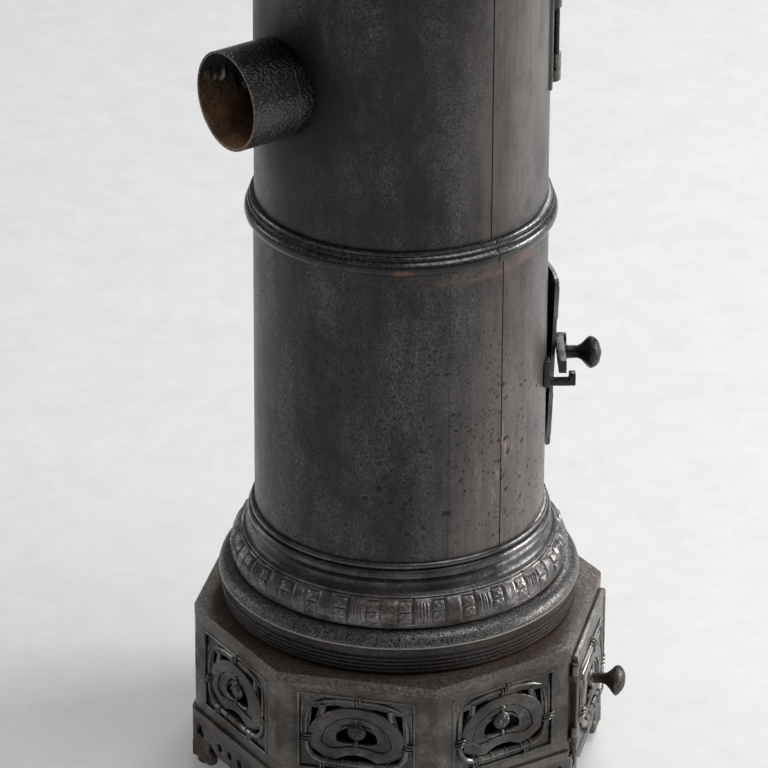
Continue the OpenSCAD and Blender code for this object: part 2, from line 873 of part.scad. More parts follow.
// Distance of a hinge axis from the column's axis
fire_axis_r = drum_r + knuckle_r + 3.3;
upper_axis_r = upper_r + 5.4;
upper_knuckle_r = 4.9;

// Heights of a door's two knuckles; the lugs sit just under them
function knuckle_heights(z, h) = [z + h * 0.2, z + h * 0.8 - knuckle_h];

// Two x limits, from the hinge axis outwards, on the door's left or right
function sided(side, near, far) = side > 0 ? [near, far] : [-far, -near];

// A strap on the drum with two lugs round the hinge pin
module hinge(outer, axis_r, lug_r, z, h, side) {
    strap_r = outer + seat;
    azimuth = side * hinge_azimuth(axis_r, lug_r);
    $fn = 144;
    difference() {
        union() {
            facing(azimuth) intersection() {
                tube(strap_r, strap_r + 2.6, z + h * 0.1, z + h * 0.9);
                block(sided(side, lug_r + 1, lug_r + 17), [-outer - 20, -outer / 2], [z, z + h]);
            }
            facing(azimuth) for (k = knuckle_heights(z, h)) {
                translate([0, -axis_r, k - lug_h - loose]) cylinder(r = lug_r, h = lug_h);
                block(sided(side, -1, lug_r + 4), [-axis_r, -outer + 1], [k - lug_h - loose, k - loose]);
            }
        }
        facing(azimuth) translate([0, -axis_r, z]) cylinder(d = hinge_pin_d + 2 * run, h = h);
        cylinder(r = strap_r, h = z + h);
    }
}

module fire_hinge() {
    color(iron) hinge(drum_r, fire_axis_r, knuckle_r, z_fire_door, fire_door_h, 1);
}

module upper_hinge() {
    color(iron) hinge(upper_r, upper_axis_r, upper_knuckle_r, z_upper_door, upper_door_h, -1);
}

// Two knuckles on a door, with short webs to the plate's edge
module knuckles(axis_r, barrel_r, z, h, side) {
    axis_x = axis_r * sin(hinge_azimuth(axis_r, barrel_r));
    axis_y = axis_r * cos(hinge_azimuth(axis_r, barrel_r));
    for (k = knuckle_heights(z, h)) {
        translate([side * axis_x, -axis_y, k]) cylinder(r = barrel_r, h = knuckle_h);
        block(sided(side, door_w / 2 - 3, axis_x), [-axis_y - 6, -axis_y - knuckle_gap], [k, k + knuckle_h]);
    }
}

// The curved plate of a column door, leaning outwards towards its top
module door_plate(bottom_r, lean, z, h, corner) {
    intersection() {
        translate([0, 0, z]) rotate_extrude() polygon([
            [bottom_r, 0], [bottom_r + door_t, 0], [bottom_r + door_t + lean, h], [bottom_r + lean, h]
        ]);
        face_plate(bottom_r / 2, bottom_r + 40) polygon(rounded_points(door_w, h, corner, 0, z + h / 2));
    }
}

z_fire_latch = z_lower + 162.5;
z_upper_latch = z_upper_mouth;
fire_bar_y = drum_r + 11;
upper_bar_y = upper_r + 8.5;

// The boss that carries the latch pivot, square to the bar
module latch_boss(bar_y, bury, z, side) {
    facing(side * side_azimuth) bar_out(16, bar_y - bury, bar_y - loose, -side * latch_arm, z);
}

module latch_pin_hole(bar_y, z, side) {
    facing(side * side_azimuth) {
        bar_out(tenon_d + 2 * run, bar_y - 30, bar_y + 20, -side * latch_arm, z);
    }
}

// Heights of the liner's two studs
stud_heights = [z_fire_mouth - fire_mouth_h / 2 + 24, z_fire_mouth + fire_mouth_h / 2 - 24];

module fire_door() {
    bottom_r = drum_r + door_gap;
    color(iron) difference() {
        union() {
            door_plate(bottom_r, fire_door_lean, z_fire_door, fire_door_h, 8);
            knuckles(fire_axis_r, knuckle_r, z_fire_door, fire_door_h, 1);
            latch_boss(fire_bar_y, 6.5, z_fire_latch, -1);
            for (z = stud_heights) {
                plate_y = bottom_r + 2 + fire_door_lean * (z - z_fire_door) / fire_door_h;
                bar_out(9, drum_r - liner_gap + run, plate_y, 0, z);
                bar_out(stud_d, drum_r - liner_gap - liner_t - 1, plate_y, 0, z);
            }
        }
        latch_pin_hole(fire_bar_y, z_fire_latch, -1);
        facing(hinge_azimuth(fire_axis_r, knuckle_r)) translate([0, -fire_axis_r, z_fire_door]) {
            cylinder(d = hinge_pin_d + 2 * run, h = fire_door_h);
        }
    }
}

// The plate that shields the fire door, held off it by two studs
module fire_liner() {
    w = mouth_w - 2 * liner_inset;
    h = fire_mouth_h - 2 * liner_inset;
    color(rust) difference() {
        inner_plate(drum_r - liner_gap, liner_t, z_fire_door, z_fire_door + fire_door_h) {
            polygon(rounded_points(w, h, mouth_corner, 0, z_fire_mouth));
        }
        for (z = stud_heights) bar_out(stud_d + 2 * run, drum_r / 2, drum_r, 0, z);
    }
}

module upper_door() {
    color(iron) difference() {
        union() {
            door_plate(upper_r + door_gap + 1, 0, z_upper_door, upper_door_h, 40);
            knuckles(upper_axis_r, upper_knuckle_r, z_upper_door, upper_door_h, -1);
            latch_boss(upper_bar_y, 7, z_upper_latch, 1);
        }
        latch_pin_hole(upper_bar_y, z_upper_latch, 1);
        facing(-hinge_azimuth(upper_axis_r, upper_knuckle_r)) translate([0, -upper_axis_r, z_upper_door]) {
            cylinder(d = hinge_pin_d + 2 * run, h = upper_door_h);
        }
    }
}

// A headed pin that stands in the lugs
module hinge_pin(axis_r, head_r, z, h, side) {
    k = knuckle_heights(z, h);
    bottom = k[0] - lug_h - loose - 2;
    top = k[1] + knuckle_h + loose;
    color(rust) facing(side * hinge_azimuth(axis_r, head_r)) translate([0, -axis_r, 0]) {
        translate([0, 0, bottom]) cylinder(d = hinge_pin_d, h = top - bottom + 1);
        translate([0, 0, top]) cylinder(r = head_r, h = 3);
    }
}

module fire_hinge_pin() {
    hinge_pin(fire_axis_r, knuckle_r, z_fire_door, fire_door_h, 1);
}

module upper_hinge_pin() {
    hinge_pin(upper_axis_r, upper_knuckle_r, z_upper_door, upper_door_h, -1);
}

// ---------------------------------------------------------------------------
// Latches: a bar that pivots on its door and drops behind the tip of a keeper on the drum

// The bar is lifted at rest, so that it just clears the keeper's tip
module latch(bar_y, z, side) {
    difference() {
        facing(side * side_azimuth) difference() {
            union() {
                block(
                    sided(side, -latch_arm, latch_arm + 4), [-bar_y - latch_t, -bar_y],
                    [z - latch_h / 2, z + latch_h / 2]
                );
                bar_out(latch_h, bar_y, bar_y + latch_t, -side * latch_arm, z);
            }
            bar_out(tenon_d + 2 * run, bar_y - 1, bar_y + latch_t + 1, 0, z);
        }
        latch_pin_hole(bar_y, z, side);
    }
}

module latch_pin(bar_y, z, side) {
    facing(side * side_azimuth) {
        bar_out(tenon_d, bar_y - 8, bar_y + latch_t + loose + 1, -side * latch_arm, z);
        bar_out(latch_h - 1, bar_y + latch_t + loose, bar_y + latch_t + loose + 3, -side * latch_arm, z);
    }
}

module keeper(outer, bar_y, z, side) {
    tip_top = z - latch_h / 2 - loose;
    seat_top = tip_top - tip_h;
    x = side * (latch_arm + 1);
    tip_y = bar_y + latch_t + latch_tip_gap;
    difference() {
        facing(side * side_azimuth) {
            block(
                [x - keeper_w / 2, x + keeper_w / 2], [-tip_y - tip_t, -outer / 2],
                [seat_top - keeper_t, seat_top]
            );
            block([x - keeper_w / 2, x + keeper_w / 2], [-tip_y - tip_t, -tip_y], [seat_top - 1, tip_top]);
            block(
                [x - keeper_plate_w / 2, x + keeper_plate_w / 2], [-outer - 2, -outer / 2],
                [seat_top - keeper_t, seat_top + keeper_plate_rise]
            );
        }
        cylinder(r = outer + seat, h = z + 100, $fn = 144);
    }
}

module fire_latch() {
    color(iron) latch(fire_bar_y, z_fire_latch, -1);
}

module fire_latch_pin() {
    color(rust) latch_pin(fire_bar_y, z_fire_latch, -1);
}

module fire_knob() {
    color(rust) facing(-side_azimuth) knob(fire_bar_y + latch_t, latch_t, 0, z_fire_latch);
}

module fire_keeper() {
    color(iron) keeper(drum_r, fire_bar_y, z_fire_latch, -1);
}

module upper_latch() {
    color(iron) latch(upper_bar_y, z_upper_latch, 1);
}

module upper_latch_pin() {
    color(rust) latch_pin(upper_bar_y, z_upper_latch, 1);
}

module upper_knob() {
    color(rust) facing(side_azimuth) knob(upper_bar_y + latch_t, latch_t, 0, z_upper_latch);
}

module upper_keeper() {
    color(iron) keeper(upper_r, upper_bar_y, z_upper_latch, 1);
}

// ---------------------------------------------------------------------------
// Fire chamber and tie rods

module grate_ring() {
    wall = 8;
    color(iron) turned(z_grate_ring, [
        [brick_r - wall, 0], [brick_r, 0], [brick_r, grate_ring_h], [grate_r + loose, grate_ring_h],
        [grate_r + loose, grate_ring_h - grate_t], [grate_r - 11, grate_ring_h - grate_t],
        [grate_r - 11, grate_ring_h - grate_t - 8], [brick_r - wall, grate_ring_h - grate_t - 8]
    ]);
}

module grate() {
    pitch = 20;
    slots = floor((grate_r - 30) / pitch);
    color(iron) difference() {
        translate([0, 0, z_grate_ring + grate_ring_h - grate_t]) cylinder(r = grate_r, h = grate_t);
        for (k = [-slots:slots]) {
            half = sqrt(pow(grate_r - 14, 2) - pow(abs(k * pitch) + 5, 2));
            block(
                [k * pitch - 5, k * pitch + 5], [-half, half],
                [z_grate_ring, z_grate_ring + grate_ring_h + 1]
            );
        }
    }
}

// Curved bricks that stand on the grate ring, with a gap left at the fire door
module firebricks() {
    sweep = (360 - door_gap_azimuth) / brick_count;
    z0 = z_grate_ring + grate_ring_h;
    color(brick) for (i = [0:brick_count - 1]) {
        facing(door_gap_azimuth / 2 + sweep * i + 0.15) rotate([0, 0, -90]) translate([0, 0, z0]) {
            rotate_extrude(angle = sweep - 0.3) {
                translate([brick_r - brick_t, 0]) square([brick_t, brick_h]);
            }
        }
    }
}

rod_bottom = z_base_top - nut_h - 3;
rod_top = z_lid + nut_h + 3;

module tie_rods() {
    color(rust) for (a = bolt_azimuths) facing(a) {
        translate([0, -rod_circle_r, rod_bottom]) cylinder(d = rod_d, h = rod_top - rod_bottom);
    }
}

module tie_nuts() {
    color(rust) for (a = bolt_azimuths, z = [z_base_top - nut_h, z_lid]) facing(a) {
        translate([0, -rod_circle_r, z]) difference() {
            cylinder(d = nut_w, h = nut_h, $fn = 6);
            translate([0, 0, -1]) cylinder(d = rod_d + 2 * run, h = nut_h + 2);
        }
    }
}

// ---------------------------------------------------------------------------
// Every piece under its own name

for (i = [1:foot_count]) foot(i);
skirt();
bottom_plate();
base_casing();
for (i = [1:grille_count]) grille(i);
base_top();
ash_door();
ash_knob();
ash_hinge_pin();
ash_pan();
ash_pan_handle();
plinth_disc();
ornament_ring();
collar_ring();
lower_drum();
middle_ring();
upper_drum();
seam_straps();
flue_collar();
cornice();
top_plate();
lid();
lid_knob();
fire_frame();
fire_hinge();
fire_door();
fire_liner();
fire_hinge_pin();
fire_latch();
fire_latch_pin();
fire_knob();
fire_keeper();
upper_frame();
upper_hinge();
upper_door();
upper_hinge_pin();
upper_latch();
upper_latch_pin();
upper_knob();
upper_keeper();
grate_ring();
grate();
firebricks();
tie_rods();
tie_nuts();
rivets();
panel_screws();
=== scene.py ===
from math import atan2, cos, degrees, dist, exp, hypot, pi, radians, sin, sqrt

import bmesh
import bpy
from mathutils import Matrix, Vector, noise


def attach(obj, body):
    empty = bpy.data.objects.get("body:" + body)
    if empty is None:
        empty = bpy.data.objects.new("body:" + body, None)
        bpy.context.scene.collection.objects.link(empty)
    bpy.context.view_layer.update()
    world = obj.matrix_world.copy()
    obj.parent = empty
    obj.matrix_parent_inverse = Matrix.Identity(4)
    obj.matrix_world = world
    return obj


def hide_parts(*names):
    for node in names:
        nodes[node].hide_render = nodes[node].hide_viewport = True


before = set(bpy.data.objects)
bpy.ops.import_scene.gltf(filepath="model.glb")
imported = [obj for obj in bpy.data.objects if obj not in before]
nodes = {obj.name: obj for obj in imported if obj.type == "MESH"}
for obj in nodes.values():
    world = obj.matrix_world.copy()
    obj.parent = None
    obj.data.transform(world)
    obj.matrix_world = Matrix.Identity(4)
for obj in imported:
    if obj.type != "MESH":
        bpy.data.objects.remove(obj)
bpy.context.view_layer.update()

# ---- Camera
# A long lens, high on the side of the flue, looks down on the base and the lower column.
# The doors are just past the column's right edge, and the top is above the picture.
stand = Matrix.Translation((-4.6417, 2.9765, 3.2206))
back = Vector((-0.75232, 0.47928, 0.45198)).normalized()
right = Vector((-0.5373, -0.84339, 0)).normalized()
up = back.cross(right)
roll = radians(0.269)
right, up = cos(roll) * right + sin(roll) * up, cos(roll) * up - sin(roll) * right
bpy.ops.object.camera_add()
camera = bpy.context.object
camera.matrix_world = stand @ Matrix((right, up, back)).transposed().to_4x4()
camera.data.lens = 281.84
camera.data.sensor_width = 36
camera.data.clip_end = 100
bpy.context.scene.camera = camera


# ---- Studio
# A pale trowelled floor that keeps the stove's shadow, and a dim white room all round. A wide soft
# box stands on the right of the stove, two more behind it, and one hangs overhead.
def material(name):
    """A material whose tree the next nodes go into, and the places on its piece."""
    global tree
    made = bpy.data.materials.new(name)
    made.use_nodes = True
    tree = made.node_tree
    tree.nodes.clear()
    return made, add("TexCoord")["Object"]


def feed(socket, value):
    """Puts a number, a colour or another node's output into a socket."""
    if isinstance(value, bpy.types.NodeSocket):
        tree.links.new(value, socket)
    elif value is not None:
        socket.default_value = value


def add(kind, *values, **named):
    """A shader node's outputs: its settings are in lower case, its inputs in order or capitalised."""
    node = tree.nodes.new("ShaderNode" + kind)
    for key, value in named.items():
        if key[0].islower():
            setattr(node, key, value)
    for socket, value in zip(node.inputs, values):
        feed(socket, value)
    for key, value in named.items():
        if key[0].isupper():
            feed(node.inputs[key.replace("_", " ")], value)
    return node.outputs


def ramp(value, start, stop, low=0, high=1):
    """A value carried over from one range to another, and held inside it."""
    return add("MapRange", value, start, stop, low, high)[0]


def plus(a, b):
    """Two values added, with no limit."""
    return add("Math", a, b, operation="ADD")[0]


def sum_of(first, *others):
    """Masks added together and kept under one."""
    for other in others:
        first = add("Math", first, other, operation="ADD", use_clamp=True)[0]
    return first


def product(first, *others):
    """Values or masks multiplied together."""
    for other in others:
        first = add("Math", first, other, operation="MULTIPLY")[0]
    return first


def toward(place, way):
    """How far a place lies in a direction."""
    return add("VectorMath", place, way, operation="DOT_PRODUCT")["Value"]


def clouds(place, scale, detail, roughness=0.5, distortion=0):
    """Soft grey noise, finer with a greater scale."""
    made = {"Scale": scale, "Detail": detail, "Roughness": roughness, "Distortion": distortion}
    return add("TexNoise", Vector=place, **made)["Fac"]


def pick(*pieces):
    """Selects these and nothing else, the first of them active."""
    bpy.ops.object.select_all(action="DESELECT")
    for piece in pieces:
        piece.select_set(True)
    if pieces:
        bpy.context.view_layer.objects.active = pieces[0]


def lamp(name, place, aim, width, height, power):
    """A soft box at a place, turned to what it lights."""
    bpy.ops.object.light_add(type="AREA", location=place)
    light = bpy.context.object
    light.name = name
    light.data.shape = "RECTANGLE"
    light.data.size, light.data.size_y, light.data.energy = width, height, power
    light.rotation_euler = (Vector(aim) - Vector(place)).to_track_quat("-Z", "Y").to_euler()


bpy.context.scene.view_settings.view_transform = "Standard"
world = bpy.data.worlds.new("room")
bpy.context.scene.world = world
world.use_nodes = True
room = world.node_tree.nodes["Background"].inputs
room["Color"].default_value = (1, 1, 1, 1)
room["Strength"].default_value = 0.15

floor_paint, place = material("studio floor")
rays = add("LightPath")
seen = sum_of(rays["Is Camera Ray"], rays["Is Glossy Ray"], rays["Is Transmission Ray"])
# Painted light: the floor's colour is lighter towards the camera and darker away from it
painted_light_toward_camera = toward(place, (-0.84, 0.54, 0))
mottle = clouds(place, 9, 8, 0.6)
trowel = clouds(place, 26, 9, 0.72, 0.6)
tone = plus(ramp(painted_light_toward_camera, -2.2, 0.9, 0.7, 0.93), ramp(mottle, 0.3, 0.7, -0.02, 0.02))
tone = plus(tone, ramp(trowel, 0.35, 0.65, -0.035, 0.02))
matt = add("BsdfDiffuse", Color=add("CombineColor", tone, tone, tone)[0])[0]
glow = add("Emission", Color=(1, 1, 1, 1), Strength=product(seen, 0.12))[0]
add("OutputMaterial", Surface=add("AddShader", matt, glow)[0])

pick()
bpy.ops.mesh.primitive_plane_add(size=60)
floor = bpy.context.object
floor.name = "floor"
floor.data.materials.append(floor_paint)

lamp("side box", (-1.6, -4.4, 1.5), (0, 0, 0.45), 2.2, 1.8, 185)
lamp("rear box", (2.6, -3, 3.2), (0, 0, 0.3), 2, 1.6, 75)
lamp("far box", (3.4, 2.4, 1.4), (0, 0, 0.6), 1.6, 1.6, 18)
lamp("top box", (-1.2, -1.2, 4.4), (0, 0, 0.2), 2.4, 2.4, 60)


# ---- Bottom plate
# A thick octagonal plate of cast iron whose rounded edge shows all round, between the skirt and the
# casing. Behind the ash door the edge is ground flush, so that the door can close.
def group(name, inputs, outputs):
    """A node group that the next nodes go into, with its named inputs and outputs."""
    global tree
    tree = bpy.data.node_groups.new(name, "ShaderNodeTree")
    for key, value in inputs.items():
        kind = "NodeSocketVector" if value is None else "NodeSocketFloat"
        socket = tree.interface.new_socket(key, in_out="INPUT", socket_type=kind)
        if value is not None:
            socket.default_value = value
    for key in outputs:
        tree.interface.new_socket(key, in_out="OUTPUT", socket_type="NodeSocketFloat")
    return tree, tree.nodes.new("NodeGroupInput").outputs, tree.nodes.new("NodeGroupOutput").inputs


def use(shared, **values):
    """The outputs of a group placed in the material at hand, with its own values."""
    node = tree.nodes.new("ShaderNodeGroup")
    node.node_tree = shared
    for key, value in values.items():
        feed(node.inputs[key], value)
    return node.outputs


def blend(mask, low, high):
    """Two colours mixed by a mask."""
    node = tree.nodes.new("ShaderNodeMix")
    node.data_type = "RGBA"
    for number, value in ((0, mask), (6, low), (7, high)):
        feed(node.inputs[number], (*value, 1) if isinstance(value, tuple) else value)
    return node.outputs[2]


# Sand grain of a casting: fine lumps over broad soft waves
sand, given, made = group("sand grain", {"Vector": None, "Fineness": 380}, ["Height", "Lumps"])
lumps = clouds(given["Vector"], given["Fineness"], 4, 0.65)
waves = clouds(given["Vector"], 70, 3)
feed(made["Height"], add("Math", lumps, 0.5, waves, operation="MULTIPLY_ADD")[0])
feed(made["Lumps"], ramp(lumps, 0.4, 0.62))

# Rust bloom: ragged patches that break up into specks at their edges
bloom, given, made = group("rust bloom", {"Vector": None, "Size": 14, "Start": 0.5, "Width": 0.12}, ["Mask"])
broad = clouds(given["Vector"], given["Size"], 9, 0.68)
feed(made["Mask"], ramp(broad, given["Start"], plus(given["Start"], given["Width"])))

# A band of heights, depths or slopes, with soft edges
belt, given, made = group("belt", {"Value": 0, "Low": 0, "High": 1, "Soft": 0.01}, ["Mask"])
rise = ramp(given["Value"], given["Low"], plus(given["Low"], given["Soft"]))
fall = ramp(given["Value"], given["High"], plus(given["High"], given["Soft"]), 1, 0)
feed(made["Mask"], product(rise, fall))


def patches(place, size, start, width):
    """A mask of ragged patches; a higher start makes them fewer, a lower width sharper."""
    return use(bloom, Vector=place, Size=size, Start=start, Width=width)["Mask"]


def band(value, low, high, soft):
    """A mask over a band of values."""
    return use(belt, Value=value, Low=low, High=high, Soft=soft)["Mask"]


def drawn_out(place, scale):
    """Places whose pattern is drawn out upright by a scale under one, or squashed by one over it."""
    return add("Mapping", place, Scale=(1, 1, scale))[0]


def finished(paint, colour, roughness, metallic, **relief):
    """The material, with a surface of that colour, gloss and relief."""
    normal = add("Bump", **relief)[0]
    surface = add("BsdfPrincipled", Base_Color=colour, Roughness=roughness, Normal=normal, Metallic=metallic)
    add("OutputMaterial", Surface=surface[0])
    return paint


def cast_iron(name, dark, worn, rust, rusty, start, fineness=380, rough=(0.34, 0.52), bump=0.5, floor_rust=0):
    """Sand-cast iron: dark, with worn lumps, rust blooms, and painted shade in its corners."""
    paint, place = material(name)
    grain = use(sand, Vector=place, Fineness=fineness)
    cloud = patches(place, 13, 0.38, 0.25)
    damp = band(add("SeparateXYZ", place)[2], -0.04, 0.012, 0.03)
    stain = sum_of(product(patches(place, 16, start, 0.14), rusty), product(damp, floor_rust))
    edge = ramp(add("NewGeometry")["Pointiness"], 0.51, 0.58, 0, 0.6)
    wear = sum_of(product(grain["Lumps"], cloud, 0.62), edge)
    colour = blend(wear, dark, worn)
    smudge = product(patches(place, 21, 0.46, 0.12), 0.6)
    colour = blend(smudge, colour, tuple(0.45 * part for part in dark))
    colour = blend(stain, colour, rust)
    scuff = patches(drawn_out(place, 5), 34, 0.55, 0.09)
    colour = blend(product(scuff, cloud, 0.55), colour, worn)
    # Painted shade: ambient occlusion darkens the colour almost to black in corners and recesses
    corner = add("AmbientOcclusion", Distance=0.005, samples=4)["AO"]
    colour = blend(ramp(corner, 0.3, 0.8, 0.8, 0), colour, (0.006, 0.0055, 0.005))
    shine = ramp(stain, 0, 1, ramp(wear, 0, 0.6, rough[1], rough[0]), 0.72)
    uneven = clouds(place, 55, 3)
    soft = add("Bump", Strength=0.2 * bump, Distance=0.0025, Height=uneven)[0]
    return finished(paint, colour, shine, 0.5, Strength=bump, Distance=0.0006, Height=grain["Height"], Normal=soft)


def linked(name, data):
    """A new object from a curve or a mesh, with nothing else selected."""
    piece = bpy.data.objects.new(name, data)
    bpy.context.collection.objects.link(piece)
    pick(piece)
    return piece


def raised(points, height):
    """Flat points at a height."""
    return [(x, y, height) for x, y in points]


def line_in(curve, points, closed=True):
    """A line through points, added to a curve."""
    line = curve.splines.new("POLY")
    line.points.add(len(points) - 1)
    for point, place in zip(line.points, points):
        point.co = (*place, 1)
    line.use_cyclic_u = closed
    return line


def shaped(curve):
    """A curve's mesh, as a new object."""
    linked(curve.name, curve)
    bpy.ops.object.convert(target="MESH")
    return bpy.context.object


def edit_all():
    """Goes into edit mode with the whole mesh selected."""
    bpy.ops.object.mode_set(mode="EDIT")
    bpy.ops.mesh.select_all(action="SELECT")


def flat_mesh(name, loops, low, high, soften=0):
    """A plate with openings between two heights, in millimetres, left in edit mode."""
    curve = bpy.data.curves.new(name, "CURVE")
    curve.dimensions, curve.fill_mode, curve.bevel_resolution = "2D", "BOTH", 2
    curve.extrude, curve.bevel_depth, curve.offset = (high - low) / 2 - soften, soften, -soften
    for loop in loops:
        line_in(curve, raised(loop, 0))
    piece = shaped(curve)
    edit_all()
    bpy.ops.mesh.remove_doubles(threshold=0.01)
    bpy.ops.transform.translate(value=(0, 0, (low + high) / 2))
    return piece


def slab(name, loops, low, high, rounding, tops_only=False):
    """A flat plate in place, in millimetres, with its outer edge rounded."""
    piece = flat_mesh(name, loops, low, high)
    mesh = bmesh.from_edit_mesh(piece.data)
    middle = (low + high) / 2
    outside = 0.88 * max(hypot(*p) for p in loops[0])
    for edge in mesh.edges:
        a, b = (v.co.z for v in edge.verts)
        level = abs(a - b) < 0.01 and (a > middle or not tops_only)
        slopes = [face.normal.z for face in edge.link_faces]
        corner = len(slopes) == 2 and abs(slopes[0] - slopes[1]) > 0.5
        edge.select = level and corner and min(hypot(*v.co.xy) for v in edge.verts) > outside
    mesh.select_flush_mode()
    bmesh.update_edit_mesh(piece.data)
    bpy.ops.mesh.bevel(offset=rounding, segments=4, affect="EDGES")
    bpy.ops.object.mode_set(mode="OBJECT")
    return piece


def settled(piece, paint, body="stove", replaced=(), place=Matrix(), angle=35):
    """Puts a piece that was modelled in millimetres in its place on the stove."""
    piece.data.transform(place @ Matrix.Scale(0.001, 4))
    pick(piece)
    bpy.ops.object.shade_smooth_by_angle(angle=radians(angle))
    piece.data.materials.clear()
    piece.data.materials.append(paint)
    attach(piece, body)
    if replaced:
        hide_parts(*replaced)
    return piece


def arc(cx, cy, rx, ry, start, stop, steps=24):
    """Points of part of an oval, from one angle to another."""
    turns = [radians(start + (stop - start) * i / steps) for i in range(steps + 1)]
    return [(cx + rx * cos(t), cy + ry * sin(t)) for t in turns]


def octagon(reach, corner):
    """Points of an octagon with rounded corners, from the distance of its sides."""
    points = []
    inner = (reach - corner) / cos(radians(22.5))
    for k in range(8):
        turn = 22.5 + 45 * k
        x, y = inner * cos(radians(turn)), inner * sin(radians(turn))
        points += arc(x, y, corner, corner, turn - 22.5, turn + 22.5, 6)
    return points


def ground_flush(points, turn, reach):
    """An outline cut back to one side's distance, on the side that faces a direction."""
    n = (sin(radians(turn)), -cos(radians(turn)))
    out = []
    for x, y in points:
        over = max(0, x * n[0] + y * n[1] - reach)
        out.append((x - over * n[0], y - over * n[1]))
    return out


base_iron = cast_iron(
    "base iron", (0.027, 0.0243, 0.0226), (0.18, 0.162, 0.145), (0.078, 0.046, 0.03), rusty=0.8, start=0.49,
    fineness=330, rough=(0.2, 0.44), bump=1.3,
)
ash_door_turn = -45
plate_edge = ground_flush(octagon(203.4, 15), ash_door_turn, 200)
settled(slab("bottom_plate_casting", [plate_edge], 57.2, 66, 3.6), base_iron, replaced=["bottom_plate"])


# ---- Base casing and its top
# An octagonal cast box whose corners are rounded, and the plate that closes it round the disc,
# rounded along its edge. Bare blackened iron; rain and ash have browned the top round the disc.
def tilt():
    """How far a surface faces upwards."""
    return add("SeparateXYZ", add("NewGeometry")["Normal"])[2]


def top_iron():
    """The casing's iron, browned near the disc and pale where the sand grain stands up."""
    paint, place = material("base top iron")
    grain = use(sand, Vector=place, Fineness=330)
    x, y, _ = add("SeparateXYZ", place)
    reach = add("VectorMath", add("CombineXYZ", x, y, 0)[0], operation="LENGTH")["Value"]
    near = ramp(reach, 0.181, 0.214, 1, 0)
    brown = sum_of(product(near, 0.55), product(patches(place, 22, 0.4, 0.22), 0.4))
    orange = product(patches(place, 120, 0.5, 0.1), near, ramp(reach, 0.181, 0.192, 1, 0.25))
    colour = blend(product(grain["Lumps"], 0.5), (0.046, 0.042, 0.039), (0.38, 0.355, 0.33))
    colour = blend(brown, colour, (0.075, 0.047, 0.032))
    colour = blend(orange, colour, (0.17, 0.066, 0.024))
    # The rounded edge is painted pale in places, as painted highlight
    rubbed_wear_and_painted_highlight = product(band(tilt(), 0.25, 0.8, 0.15), patches(place, 60, 0.34, 0.16), 0.9)
    colour = blend(rubbed_wear_and_painted_highlight, colour, (0.5, 0.48, 0.46))
    shine = ramp(brown, 0, 1, 0.28, 0.62)
    return finished(paint, colour, shine, 0.45, Strength=1, Distance=0.0011, Height=grain["Height"])


def paint_nodes(paint, *names):
    """CAD pieces that keep their shape and get a finish."""
    for name in names:
        nodes[name].data.materials.clear()
        nodes[name].data.materials.append(paint)


paint_nodes(base_iron, "base_casing")
throat = arc(0, 0, 127.5, 127.5, 0, 357, 119)
plate = slab("base_top_casting", [octagon(200.25, 12.2), throat], 176.4, 187, 1.8, tops_only=True)
settled(plate, top_iron(), replaced=["base_top"], angle=50)


# ---- Skirt and feet
# A cast skirt under the bottom plate, pierced with round holes and trefoils, one casting round all
# eight sides. Each corner stands on a foot of two scrolled lobes and a pad. Rusty near the floor.
def flat_casting(loops, low, high, soften=0.5):
    """A casting with openings between two depths, in millimetres, with its edges softened."""
    piece = flat_mesh("casting", loops, low, high, soften)
    bpy.ops.object.mode_set(mode="OBJECT")
    return piece


def rod(points, radius, closed=False, ends=None):
    """A round bar along points in millimetres, thinner at its ends where they are given."""
    curve = bpy.data.curves.new("rod", "CURVE")
    curve.dimensions = "3D"
    curve.bevel_depth, curve.bevel_resolution, curve.use_fill_caps = radius, 3, True
    line = line_in(curve, points, closed)
    if ends:
        line.points[0].radius, line.points[-1].radius = ends
    return shaped(curve)


def ball(place, radius, flat=1, segments=14):
    """A ball in millimetres, flattened towards its plate."""
    pick()
    bpy.ops.mesh.primitive_uv_sphere_add(segments=segments, ring_count=segments // 2 + 1, radius=radius)
    piece = bpy.context.object
    piece.scale, piece.location = (1, 1, flat), place
    bpy.ops.object.transform_apply(location=True, rotation=True, scale=True)
    return piece


def joined(name, pieces):
    """Pieces made one, by that name."""
    pick(*pieces)
    if len(pieces) > 1:
        bpy.ops.object.join()
    pieces[0].name = name
    return pieces[0]


def turned(angle, axis="Z"):
    """A turn about an axis."""
    return Matrix.Rotation(radians(angle), 4, axis)


def on_facet(turn, distance, height):
    """The place of something modelled flat, on a side of the base."""
    return turned(turn) @ Matrix.Translation((0, -distance, height)) @ turned(90, "X")


def copied(piece, turn=0):
    """A copy with its own mesh, turned round the stove's axis."""
    twin = piece.copy()
    twin.data = piece.data.copy()
    bpy.context.collection.objects.link(twin)
    twin.data.transform(turned(turn))
    return twin


def mirrored(loop):
    """An outline's mirror image, which runs the same way round."""
    return [(-x, y) for x, y in reversed(loop)]


def both_sides(points):
    """A run of points on the right and its mirror image, as one closed outline."""
    return points + mirrored(points)


skirt_iron = cast_iron(
    "skirt iron", (0.062, 0.059, 0.057), (0.27, 0.255, 0.24), (0.085, 0.052, 0.038), rusty=0.75, start=0.5,
    fineness=330, rough=(0.28, 0.48), bump=1, floor_rust=0.25,
)
half_edge = [(83.7, 57.4), (83.7, 11), (60, 11), (53, 18), (50, 36), (49, 37.5), (33, 28.5)]
holes = [arc(x, 42, 4.6, 4.6, 0, 345, 23) for x in (-29.1, -9.7, 9.7, 29.1)]
leaf = 3.7
for x in (-69, 69):
    top = arc(x, 47, leaf, leaf, -30, 210, 16)
    left, right = arc(x - 3.6, 41, leaf, leaf, 115, 325, 14), arc(x + 3.6, 41, leaf, leaf, 215, 425, 14)
    holes.append(top + left + right)
side = flat_casting([both_sides(half_edge)] + holes, -5.5, 0, 0.7)
side.data.transform(on_facet(0, 202.4, 0))
skirt = joined("skirt_casting", [side] + [copied(side, 45 * k) for k in range(1, 8)])
